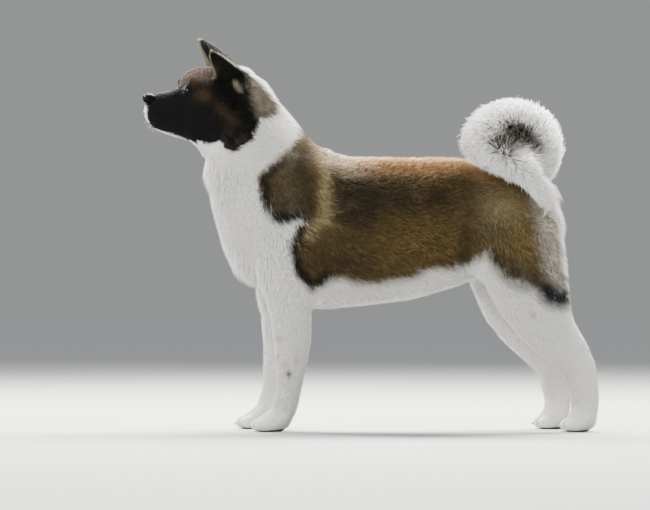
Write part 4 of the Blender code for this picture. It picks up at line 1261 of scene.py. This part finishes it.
def unwrap(thing):
    """Spreads the skin on its own charts, as the UV map OFBake."""
    bpy.ops.object.select_all(action="DESELECT")
    thing.select_set(True)
    bpy.context.view_layer.objects.active = thing
    thing.data.uv_layers.new(name="OFBake")
    bpy.ops.object.mode_set(mode="EDIT")
    bpy.ops.mesh.select_all(action="SELECT")
    bpy.ops.uv.smart_project(angle_limit=math.radians(66), island_margin=0.001)
    bpy.ops.object.mode_set(mode="OBJECT")


def clump(roots, tips, rng, pull):
    """Draws the tips together towards those of nearby leading tufts."""
    leaders = rng.permutation(len(roots))[: len(roots) // LOCK]
    tree = KDTree(len(leaders))
    for number, leader in enumerate(leaders):
        tree.insert(roots[leader], number)
    tree.balance()
    nearest = leaders[np.array([tree.find(root)[1] for root in roots.tolist()])]
    return tips + (tips[nearest] - tips) * pull[:, None]


def corner_places(mesh):
    """Places of each triangle's corners in the UV map."""
    loops = np.empty(len(mesh.loop_triangles) * 3, np.int32)
    mesh.loop_triangles.foreach_get("loops", loops)
    uv = np.empty(len(mesh.loops) * 2, np.float32)
    mesh.uv_layers["OFBake"].data.foreach_get("uv", uv)
    return uv.reshape(-1, 2)[loops.reshape(-1, 3)]


def hair_sizes(mesh, vertices, outward, on_tail):
    """Height, length and width of the hair at each vertex, and how many tufts grow per square metre."""
    spots, trunk = in_head(vertices), in_body(vertices)
    flat = trunk[:, [0, 2]]
    room = relax(np.repeat(flesh_room(vertices)[:, None], 3, axis=1), edges_of(mesh), 15)[:, 0]
    depth = coat_depth(vertices)
    ear = smooth(ear_height(spots), 0.0, 0.45) * ((np.abs(spots[:, 1]) > 0.02) & (spots[:, 2] > 0.70))
    height = np.clip(room, 0.45 * depth, 1.15 * depth)
    height = mix(height, EAR_HAIR[0], ear)
    height = mix(height, np.clip(room * 1.15, *TAIL_HAIR), on_tail)
    to_hub = (TAIL_HUB - vertices) * (1, 0, 1)
    inward = smooth((unit(to_hub) * outward).sum(axis=1), 0.1, 0.8) * on_tail
    inward *= fade(np.linalg.norm(to_hub, axis=1), 0.055, 0.070)
    height = mix(height, HUB_HAIR, inward)
    under = smooth(-(outward @ PLUME_SIDE), 0.0, 0.7) * smooth(tail_place(vertices)[2], 0.66, 0.76)
    flank = smooth(np.abs(outward[:, 1]), 0.5, 0.9)
    crown = smooth(outward[:, 2], 0.3, 0.9)
    height *= 1 - np.max([0.62 * under, 0.26 * flank, 0.24 * crown], axis=0) * on_tail
    height *= mix(0.45, 1.0, smooth(from_eyes(spots), 0.012, 0.026))
    throat = smooth(-trunk[:, 0], 0.225, 0.255) * smooth(trunk[:, 2], 0.48, 0.54)
    throat = throat * smooth(-outward[:, 0], 0.2, 0.7)
    keel = smooth(-trunk[:, 0], 0.185, 0.225) * blot(flat, -0.25, 0.31, 0.08, 0.05)
    keel *= smooth(-outward[:, 0] - outward[:, 2], 0.3, 1.0)
    belly = blot(flat, 0.03, 0.265, 0.130, 0.045) * smooth(-outward[:, 2], 0.25, 0.70)
    head = head_share(vertices)
    height *= 1 + (0.80 * throat + 0.70 * keel + 0.70 * belly) * (1 - head)
    length = 1.35 * height + 0.0035
    length = mix(length, height * 1.20 + 0.008, on_tail)
    length = mix(length, height * 1.04 + 0.002, inward)
    length = mix(length, EAR_HAIR[1], ear)
    from_claw = claw_distance(vertices)
    length *= mix(0.5, 1.0, smooth(from_claw, 0.006, 0.018))
    width = mix(0.0005 + 0.038 * length, 0.0017, on_tail)
    leg = fade(trunk[:, 2], 0.22, 0.30) * (1 - head) * (1 - on_tail)
    cover = mix(mix(mix(BODY_COVER, LEG_COVER, leg), FACE_COVER, head), TAIL_COVER, on_tail)
    bare = np.linalg.norm((spots - NOSE_MIDDLE) / NOSE_SIZE, axis=1) < BARE_ROUND_NOSE
    bare |= eye_opening(vertices) | (from_claw < BARE_ROUND_CLAW)
    bare |= (vertices[:, 2] < 0.004) | ((vertices[:, 2] < 0.012) & (outward[:, 2] < -0.5))
    return height, length, width, cover / (0.5 * width * length) * ~bare


def grow_coat(skin):
    """All the tufts over the skin, in pieces."""
    rng = np.random.default_rng(SEED)
    mesh = skin.data
    vertices, triangles = vertices_of(mesh), triangles_of(mesh)
    outward = normals_of(vertices, triangles)
    on_tail = tail_share(vertices)
    height, length, width, density = hair_sizes(mesh, vertices, outward, on_tail)
    chosen, places = sample_skin(vertices, triangles, density[triangles].mean(axis=1), rng)

    def at_roots(values):
        """What the roots have between them of the values at the skin's vertices."""
        return np.einsum("ij,ij...->i...", places, values[triangles[chosen]])

    roots, normals = at_roots(vertices), unit(at_roots(outward))
    ups, longs, wides = at_roots(height), at_roots(length), at_roots(width)
    tailed = at_roots(on_tail)
    count = len(roots)

    # Which way each tuft runs, and how far it strays.
    ways = lie_of_coat(roots, normals)
    shown = roots + ways * (0.45 * longs)[:, None] + normals * (0.6 * ups)[:, None]
    tone, dark = coat_colour(shown, normals)
    rough = np.clip(dark + tailed, 0, 1)
    loose = mix(0.07, 0.13, rough) + 0.16 * tailed
    stray = 0.16 * soft_noise(roots, 0.035, 21) * mix(0.6, 1.0, rough) + loose * rng.normal(size=count)
    ways = unit(ways + np.cross(normals, ways) * stray[:, None])
    sides = np.cross(normals, ways)

    # How tall and long it grows, and how it bends aside.
    vary = 1.04 + 0.16 * tailed - rng.uniform(0, 1, count) * (mix(0.14, 0.28, rough) + 0.22 * tailed)
    vary += 0.13 * tailed * (rng.uniform(0, 1, count) > 0.86)
    ups = ups * vary * (1.04 - rng.uniform(0, 1, count) * mix(0.12, 0.24, rough))
    longs = longs * vary
    far = np.sqrt(np.maximum(longs**2 - ups**2, (0.35 * longs) ** 2))
    bend = (0.12 - 0.06 * tailed) * longs * rng.normal(size=count)

    def along(share):
        """Where the tufts have got to, a share of the way from root to tip."""
        rise = ups * (1 - (1 - share) ** 1.8)
        return (roots + normals * rise[:, None] + ways * (far * share**1.1)[:, None]
                + sides * (bend * share**2)[:, None])

    tips = along(1.0)
    pull = rng.uniform(0.15, 0.45, count) * mix(0.25, 1.0, rough) * (1 - 0.45 * tailed)
    tips = clump(roots, tips, rng, pull)
    shift = tips - along(1.0)
    base = roots - normals * TUFT_SINK

    # Colours of root and tip. The tail's mark is a shape in the air, which long hair only passes through.
    plumed = tailed > 0.3
    mark, mark_dark = tail_colour(along(0.15)[plumed])
    tone[plumed] = mix(tone[plumed], mark, tailed[plumed])
    dark[plumed] = mix(dark[plumed], mark_dark, tailed[plumed])
    tip_mark = tone.copy()
    tip_mark[plumed] = mix(tone[plumed], tail_colour(along(0.7)[plumed])[0], tailed[plumed])
    mottle = 0.15 * soft_noise(roots, 0.011, 31) * np.clip(dark, 0.12, 1)
    mottle = np.exp(mottle + 0.16 * rng.normal(size=count) * np.clip(dark * 1.6, 0.16, 1))
    tip_tone = np.clip(tip_mark * mottle[:, None] * 1.08, DARKEST, 0.86)
    tip_tone = mix(tip_tone, BLACK * 1.6, (rng.uniform(0, 1, count) < SABLE_SHARE) * dark * SABLE)
    # Roots darker than the coat's tone, the more so where the hair is dark: painted shade deep in the coat.
    shaded_root_tone = np.clip(tone * (0.95 - 0.30 * dark)[:, None], DARKEST, 0.80)

    # The pieces: each kind apart, and cut into runs from the nose to the tail.
    patches = np.einsum("ij,ijk->ik", places, corner_places(mesh)[chosen])
    look = fur_material()
    kind = np.where(tailed >= 0.5, 2, np.where(longs < SHORT_HAIR, 0, 1))
    groups = []
    for number, (shares, most) in enumerate(zip(KINDS, MOST_IN_PIECE)):
        members = np.where(kind == number)[0]
        order = members[np.argsort(roots[members, 0], kind="stable")]
        groups += [(part, shares) for part in np.array_split(order, math.ceil(len(order) / most))]
    for number, (part, shares) in enumerate(groups, 1):
        bends = [along(share)[part] + shift[part] * share**1.6 for share in shares]
        spine = np.stack([base[part], *bends, tips[part]], axis=1)
        made = build_tufts(
            f"coat_{number:02d}", spine, wides[part], TUFT_FLAT, normals[part],
            (shaded_root_tone[part], tip_tone[part]), patches[part],
        )
        made.data.materials.append(look)
        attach(made, "root")


def make_dog():
    """Skin, coat and whiskers."""
    skin = make_skin()
    strips = sculpt(skin)
    lighten(skin)
    add_shapes(skin, strips + [ear_flesh(side) for side in (LEFT, RIGHT)])
    skin.data.shade_smooth()
    unwrap(skin)
    points = vertices_of(skin.data)
    outward = normals_of(points, triangles_of(skin.data))
    tone, dark = coat_colour(points, outward)
    tone = mix(tone, WHITE * 0.9, 0.7 * tail_share(points))
    # The skin is painted a little darker than the coat's tone, and darker still under dark hair: painted
    # shade under the coat.
    paint(skin, tone * (0.93 - 0.28 * dark)[:, None])
    skin.data.materials.append(skin_material())
    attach(skin, "root")
    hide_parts(*FLESH, *TAIL, *EARS)
    grow_coat(skin)
    make_whiskers(skin)


# ---- Materials ----

def node_material(name, roughness, specular=0.5):
    """A new material, with its nodes and its shader."""
    material = bpy.data.materials.new(name)
    material.use_nodes = True
    shader = material.node_tree.nodes["Principled BSDF"]
    shader.inputs["Roughness"].default_value = roughness
    shader.inputs["Specular IOR Level"].default_value = specular
    return material, material.node_tree, shader


def add_node(tree, kind, **values):
    """A node whose properties or inputs have the values named."""
    node = tree.nodes.new(kind)
    for name, value in values.items():
        if hasattr(node, name):
            setattr(node, name, value)
        else:
            node.inputs[name.replace("_", " ")].default_value = value
    return node


def ramp(tree, factor, stops):
    """Colours between stops of place and colour, for a factor."""
    node = tree.nodes.new("ShaderNodeValToRGB")
    while len(node.color_ramp.elements) < len(stops):
        node.color_ramp.elements.new(0.5)
    for element, (place, colour) in zip(node.color_ramp.elements, stops):
        element.position = place
        element.color = (*colour, 1)
    tree.links.new(factor, node.inputs["Fac"])
    return node.outputs["Color"]


def bump(tree, shader, height, strength, distance):
    """Fine relief in the shading."""
    node = add_node(tree, "ShaderNodeBump", Strength=strength, Distance=distance)
    tree.links.new(height, node.inputs["Height"])
    tree.links.new(node.outputs["Normal"], shader.inputs["Normal"])


def texture(tree, kind, **values):
    """A node laid out in the object's own coordinates."""
    node = add_node(tree, kind, **values)
    place = tree.nodes.new("ShaderNodeTexCoord")
    tree.links.new(place.outputs["Object"], node.inputs["Vector"])
    return node


def marked(tree, shader, scale, stops):
    """Base colour: the piece's own marking attribute, times a noise between two greys."""
    marks = add_node(tree, "ShaderNodeAttribute", attribute_name="marking")
    grain = texture(tree, "ShaderNodeTexNoise", Scale=scale, Detail=3.0)
    shade = ramp(tree, grain.outputs["Fac"], [(place, (grey,) * 3) for place, grey in stops])
    both = add_node(tree, "ShaderNodeMix", data_type="RGBA", blend_type="MULTIPLY")
    both.inputs["Factor"].default_value = 1.0
    tree.links.new(marks.outputs["Color"], both.inputs["A"])
    tree.links.new(shade, both.inputs["B"])
    tree.links.new(both.outputs["Result"], shader.inputs["Base Color"])


def coat_material(name, sheen):
    material, tree, shader = node_material(name, 0.72, 0.06)
    marked(tree, shader, 260.0, ((0.30, 0.80), (0.70, 1.0)))
    shader.inputs["Sheen Weight"].default_value = sheen
    shader.inputs["Sheen Roughness"].default_value = 0.4
    return material, tree, shader


def fur_material():
    return coat_material("coat", 0.02)[0]


def skin_material():
    """The coat's look, with a fine bump that runs the way of short hair."""
    material, tree, shader = coat_material("short_coat", 0.01)
    stretch = texture(tree, "ShaderNodeMapping", Scale=(0.35, 1.0, 1.0))
    hairs = add_node(tree, "ShaderNodeTexNoise", Scale=900.0, Detail=4.0)
    tree.links.new(stretch.outputs["Vector"], hairs.inputs["Vector"])
    bump(tree, shader, hairs.outputs["Fac"], 0.6, 0.0012)
    return material


def grained(tree, shader, node, output, stops, strength, distance):
    """Base colour and bump from one output of a texture."""
    tone = ramp(tree, node.outputs[output], stops)
    tree.links.new(tone, shader.inputs["Base Color"])
    bump(tree, shader, node.outputs[output], strength, distance)


def leather_material():
    material, tree, shader = node_material("nose_leather", 0.45, 0.01)
    cells = texture(tree, "ShaderNodeTexVoronoi", Scale=950.0)
    tones = ((0.1, (0.004, 0.004, 0.005)), (0.6, (0.002, 0.002, 0.0025)))
    grained(tree, shader, cells, "Distance", tones, 0.35, 0.0004)
    shader.inputs["Coat Weight"].default_value = 0.03
    shader.inputs["Coat Roughness"].default_value = 0.30
    return material


def horn_material():
    material, tree, shader = node_material("claw_horn", 0.35)
    streaks = texture(tree, "ShaderNodeTexNoise", Scale=180.0, Detail=4.0)
    tones = ((0.3, (0.10, 0.075, 0.055)), (0.7, (0.34, 0.28, 0.22)))
    grained(tree, shader, streaks, "Fac", tones, 0.3, 0.0004)
    return material


def eye_material():
    """Wet and dark: the painted pupil, iris and white, with fine fibres in them."""
    material, tree, shader = node_material("eye", 0.25, 0.10)
    marked(tree, shader, 600.0, ((0.3, 0.55), (0.7, 1.0)))
    shader.inputs["Coat Weight"].default_value = 0.20
    shader.inputs["Coat Roughness"].default_value = 0.04
    return material


def paint(thing, colours):
    """Writes one colour at each vertex."""
    layer = thing.data.color_attributes.new("marking", "FLOAT_COLOR", "POINT")
    full = np.ones((len(colours), 4), np.float32)
    full[:, :3] = colours
    layer.data.foreach_set("color", full.ravel())


# ---- Eyes and nose ----

IRIS = math.radians(38)
PUPIL = math.radians(15)
CORNEA = 0.0009
EYE_RINGS, EYE_STEPS = 40, 48
PUPIL_TONE = np.array((0.004, 0.003, 0.003))
IRIS_TONE = np.array((0.018, 0.009, 0.005))
IRIS_EDGE_TONE = np.array((0.012, 0.007, 0.005))
SCLERA_TONE = np.array((0.011, 0.008, 0.007))


def make_eye(word, side):
    """An eyeball with a slight cornea, iris and pupil, in place of the plain one."""
    centre, gaze, outer, up = eye_frame(side)
    vertices, tones = [], []
    for angle in np.linspace(0, math.pi, EYE_RINGS):
        radius = EYE_RADIUS + CORNEA * fade(angle, 0.0, IRIS * 1.25)
        tone = mix(PUPIL_TONE, IRIS_TONE, float(smooth(angle, PUPIL, PUPIL * 1.15)))
        tone = mix(tone, IRIS_EDGE_TONE, float(smooth(angle, IRIS * 0.8, IRIS)))
        tone = mix(tone, SCLERA_TONE, float(smooth(angle, IRIS * 1.02, IRIS * 1.12)))
        tones += [tone] * EYE_STEPS
        for turn in np.arange(EYE_STEPS) * 2 * math.pi / EYE_STEPS:
            flat = outer * math.cos(turn) + up * math.sin(turn)
            vertices.append(centre + (gaze * math.cos(angle) + flat * math.sin(angle)) * radius)
    made = new_object(f"eyeball_{word}", moved(np.array(vertices), HEAD), ring_faces(EYE_RINGS, EYE_STEPS))
    paint(made, np.array(tones))
    settle(made, MERGE / 10).data.shade_smooth()
    made.data.materials.append(EYE_LOOK)
    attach(made, "root")
    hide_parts(f"eye_{word}")


NOSE_MIDDLE = np.array((-0.4472, 0.0, 0.6612))
NOSE_SIZE = np.array((0.0125, 0.0155, 0.0113))
NOSE_BLOCK = 0.74                       # 1 is round, and less is nearer to a block
NOSTRIL = unit(np.array((-0.80, 0.52, -0.12)))
NOSTRIL_DEPTH, NOSTRIL_WING, NOSE_GROOVE = 0.0052, 0.0009, 0.0013


def make_nose():
    """Nose leather: a wide soft block with a flat top, comma nostrils and a groove down its middle."""
    shape = bmesh.new()
    bmesh.ops.create_uvsphere(shape, u_segments=96, v_segments=64, radius=1.0)
    made = from_shape("nose_leather", shape)
    ways = vertices_of(made.data)
    spots = np.sign(ways) * np.abs(ways) ** NOSE_BLOCK * NOSE_SIZE
    spots[:, 1] *= 1 - 0.22 * smooth(-ways[:, 2], 0.0, 0.9)
    spots[:, 0] += 0.0022 * smooth(-ways[:, 2], 0.1, 0.9)
    for side in (LEFT, RIGHT):
        to = NOSTRIL * (1, side, 1)
        hole = np.exp(-(((ways - to) ** 2) @ np.array((1.0, 1.0, 1.5)) / 0.045))
        slit = np.exp(-(((ways[:, 2] + 0.30 + 0.15 * (ways[:, 1] * side - 0.7)) / 0.085) ** 2))
        slit *= smooth(ways[:, 1] * side, 0.45, 0.65) * smooth(-ways[:, 0], -0.15, 0.15)
        spots -= ways * (NOSTRIL_DEPTH * np.maximum(hole, 0.75 * slit))[:, None]
        wing = np.exp(-(((ways - to * (1, 1.12, 1) - (0, 0, 0.42)) ** 2).sum(axis=1) / 0.09))
        spots += ways * (NOSTRIL_WING * wing)[:, None]
    groove = np.exp(-((ways[:, 1] / 0.06) ** 2)) * smooth(-ways[:, 0], 0.3, 0.7)
    groove = groove * fade(ways[:, 2], 0.2, 0.5)
    spots -= ways * (NOSE_GROOVE * groove)[:, None]
    set_vertices(made.data, moved(spots + NOSE_MIDDLE, HEAD))
    settle(made).data.shade_smooth()
    made.data.materials.append(leather_material())
    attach(made, "root")
    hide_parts("nose")


CLAW_RINGS, CLAW_SIDES = 15, 20
CLAW_SOLE = 0.30                        # the height of a claw's sole at its root, as a share of its own


def make_claw(node):
    """One smooth hooked claw in the room of its solid, round in section and bent down to its tip."""
    low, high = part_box(node)
    along = np.linspace(0.0, 1.0, CLAW_RINGS)[:, None]
    turn = np.linspace(0.0, 2 * math.pi, CLAW_SIDES, endpoint=False)[None, :]
    top = 1 - along ** 2.2
    sole = CLAW_SOLE * (1 - along) ** 1.3
    tall = (top + sole) / 2 + (top - sole) / 2 * np.sin(turn)
    wide = 0.5 + 0.5 * np.cos(turn) * np.sqrt(1 - along ** 1.5) * (1 - 0.25 * along)
    rings = np.stack((1 - along + 0 * turn, wide, tall), axis=2).reshape(-1, 3)
    ends = np.array(((1.0, 0.5, (1 + CLAW_SOLE) / 2), (0.0, 0.5, 0.0)))
    spots = np.vstack((rings[:-CLAW_SIDES], ends)) * np.array(high - low) + np.array(low)
    root, tip = len(spots) - 2, len(spots) - 1
    last = root - CLAW_SIDES
    faces = []
    for number in range(CLAW_SIDES):
        after = (number + 1) % CLAW_SIDES
        faces.append((root, number, after))
        for start in range(0, last, CLAW_SIDES):
            first, second = start + number, start + after
            faces.append((first, first + CLAW_SIDES, second))
            faces.append((second, first + CLAW_SIDES, second + CLAW_SIDES))
        faces.append((last + number, tip, last + after))
    made = new_object(f"{node}_horn", spots, faces)
    made.data.shade_smooth()
    made.data.materials.append(HORN)
    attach(made, "root")
    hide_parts(node)


# Whiskers on both sides of the head: a place near the root, the way out of the skin, and the length.
WHISKERS = (
    ((-0.436, 0.020, 0.642), (-0.10, 0.95, -0.10), 0.024),
    ((-0.428, 0.024, 0.638), (0.15, 0.95, -0.12), 0.028),
    ((-0.420, 0.027, 0.643), (0.30, 0.92, 0.02), 0.032),
    ((-0.431, 0.022, 0.632), (0.05, 0.92, -0.35), 0.024),
    ((-0.421, 0.026, 0.630), (0.30, 0.90, -0.30), 0.030),
    ((-0.411, 0.029, 0.636), (0.45, 0.88, -0.12), 0.032),
    ((-0.412, 0.029, 0.626), (0.45, 0.82, -0.36), 0.028),
    ((-0.447, 0.007, 0.606), (-0.60, 0.20, -0.75), 0.011),
    ((-0.444, 0.012, 0.601), (-0.45, 0.30, -0.85), 0.012),
    ((-0.438, 0.006, 0.598), (-0.30, 0.12, -0.95), 0.012),
    ((-0.430, 0.013, 0.596), (-0.12, 0.30, -0.95), 0.012),
    ((-0.450, 0.004, 0.614), (-0.80, 0.10, -0.55), 0.009),
    ((-0.374, 0.028, 0.712), (-0.62, 0.25, 0.74), 0.018),
    ((-0.369, 0.034, 0.714), (-0.50, 0.40, 0.77), 0.020),
    ((-0.377, 0.022, 0.709), (-0.75, 0.10, 0.62), 0.015),
    ((-0.352, 0.052, 0.664), (-0.05, 0.95, -0.25), 0.020),
)
WHISKER_WIDTH = 0.00042
WHISKER_DROOP = 0.10
WHISKER_STEPS = np.array((0.0, 0.35, 0.7, 1.0))[:, None]
CHIN, BROW = 0.62, 0.70                 # whiskers under the one are white, and over the other grey and thin


def make_whiskers(skin):
    """Stiff single hairs on lips, chin, brow and cheek."""
    tree = BVHTree.FromPolygons(vertices_of(skin.data).tolist(), triangles_of(skin.data).tolist())
    spines, ups, heights = [], [], []
    droop = np.array((0, 0, WHISKER_DROOP)) * WHISKER_STEPS**2
    for place, way, length in WHISKERS:
        for side in (LEFT, RIGHT):
            near = moved(np.array([place]) * (1, side, 1), HEAD)[0]
            way_out = unit(from_head(np.array(way) * (1, side, 1)))
            root = np.array(tree.find_nearest(Vector(near))[0]) - way_out * TUFT_SINK
            spines.append(root + way_out * WHISKER_STEPS * length - droop * length)
            ups.append(unit(np.cross(way_out, (0.3, 0.1, 1.0))))
            heights.append(place[2])
    spines, ups, heights = np.array(spines), np.array(ups), np.array(heights)
    above = np.where((heights > BROW)[:, None], GREY_TAN * 0.5, BLACK * 2)
    tone = np.where((heights < CHIN)[:, None], WHITE * 0.8, above)
    width = WHISKER_WIDTH * np.where(heights > BROW, 0.6, 1.0)
    patches = np.full((len(spines), 2), 0.5)
    made = build_tufts("whiskers", spines, width, 1.0, ups, (tone * 0.5, tone), patches)
    made.data.materials.append(fur_material())
    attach(made, "root")


make_dog()
EYE_LOOK = eye_material()
for word, side in SIDES.items():
    make_eye(word, side)
make_nose()
HORN = horn_material()
for claw in CLAWS:
    make_claw(claw)


# ---- Stage ----

FLOOR_REACH = 30
FLOOR_TONE = (0.23, 0.23, 0.227, 1)
HORIZON = (0.198, 0.204, 0.204)
SKY = ((0.0, HORIZON), (0.10, HORIZON), (0.45, (0.62, 0.64, 0.66)), (1.0, (0.85, 0.88, 0.92)))
SKY_STRENGTH = 1.6
LENS, SENSOR = 180, 36                  # millimetres
CAMERA_AT = Vector((-0.093, -6.5, 0.27))
CAMERA_RISE = math.atan(0.08 / 6.5)
LIGHTS = (              # name, place, what it points at, size, power and colour
    ("key", (-2.2, -4.0, 2.6), (-0.05, 0, 0.4), (3.0, 2.5), 430, (1, 0.99, 0.97)),
    ("rim", (0.45, 1.55, 3.1), (0, 0, 0.45), (3.2, 1.0), 2000, (1, 0.97, 0.92)),
    ("rim_front", (-2.2, 2.0, 2.0), (-0.2, 0, 0.45), (1.2, 1.2), 360, (1, 0.98, 0.95)),
)


def make_stage():
    corners = [(x * FLOOR_REACH, y * FLOOR_REACH, 0) for x, y in ((-1, -1), (1, -1), (1, 1), (-1, 1))]
    floor = new_object("floor", corners, [(0, 1, 2, 3)])
    material, _, shader = node_material("floor", 0.9)
    shader.inputs["Base Color"].default_value = FLOOR_TONE
    floor.data.materials.append(material)


def make_camera():
    lens = bpy.data.cameras.new("camera")
    lens.lens, lens.sensor_width = LENS, SENSOR
    camera = link("camera", lens)
    camera.location = CAMERA_AT + Vector((SHIFT.x, SHIFT.y, 0))
    camera.rotation_euler = (math.pi / 2 + CAMERA_RISE, 0, 0)
    bpy.context.scene.camera = camera


def area_light(name, place, aim, size, power, colour):
    lamp = bpy.data.lights.new(name, "AREA")
    lamp.shape = "RECTANGLE"
    lamp.size, lamp.size_y = size
    lamp.energy = power
    lamp.color = colour
    made = link(name, lamp)
    made.location = place
    made.rotation_euler = (Vector(aim) - Vector(place)).to_track_quat("-Z", "Y").to_euler()


def make_lights():
    world = bpy.data.worlds.new("studio")
    bpy.context.scene.world = world
    world.use_nodes = True
    tree = world.node_tree
    place = tree.nodes.new("ShaderNodeTexCoord")
    height = tree.nodes.new("ShaderNodeSeparateXYZ")
    tree.links.new(place.outputs["Generated"], height.inputs["Vector"])
    tone = ramp(tree, height.outputs["Z"], SKY)
    tree.links.new(tone, tree.nodes["Background"].inputs["Color"])
    tree.nodes["Background"].inputs["Strength"].default_value = SKY_STRENGTH
    for light in LIGHTS:
        area_light(*light)


make_stage()
make_camera()
make_lights()
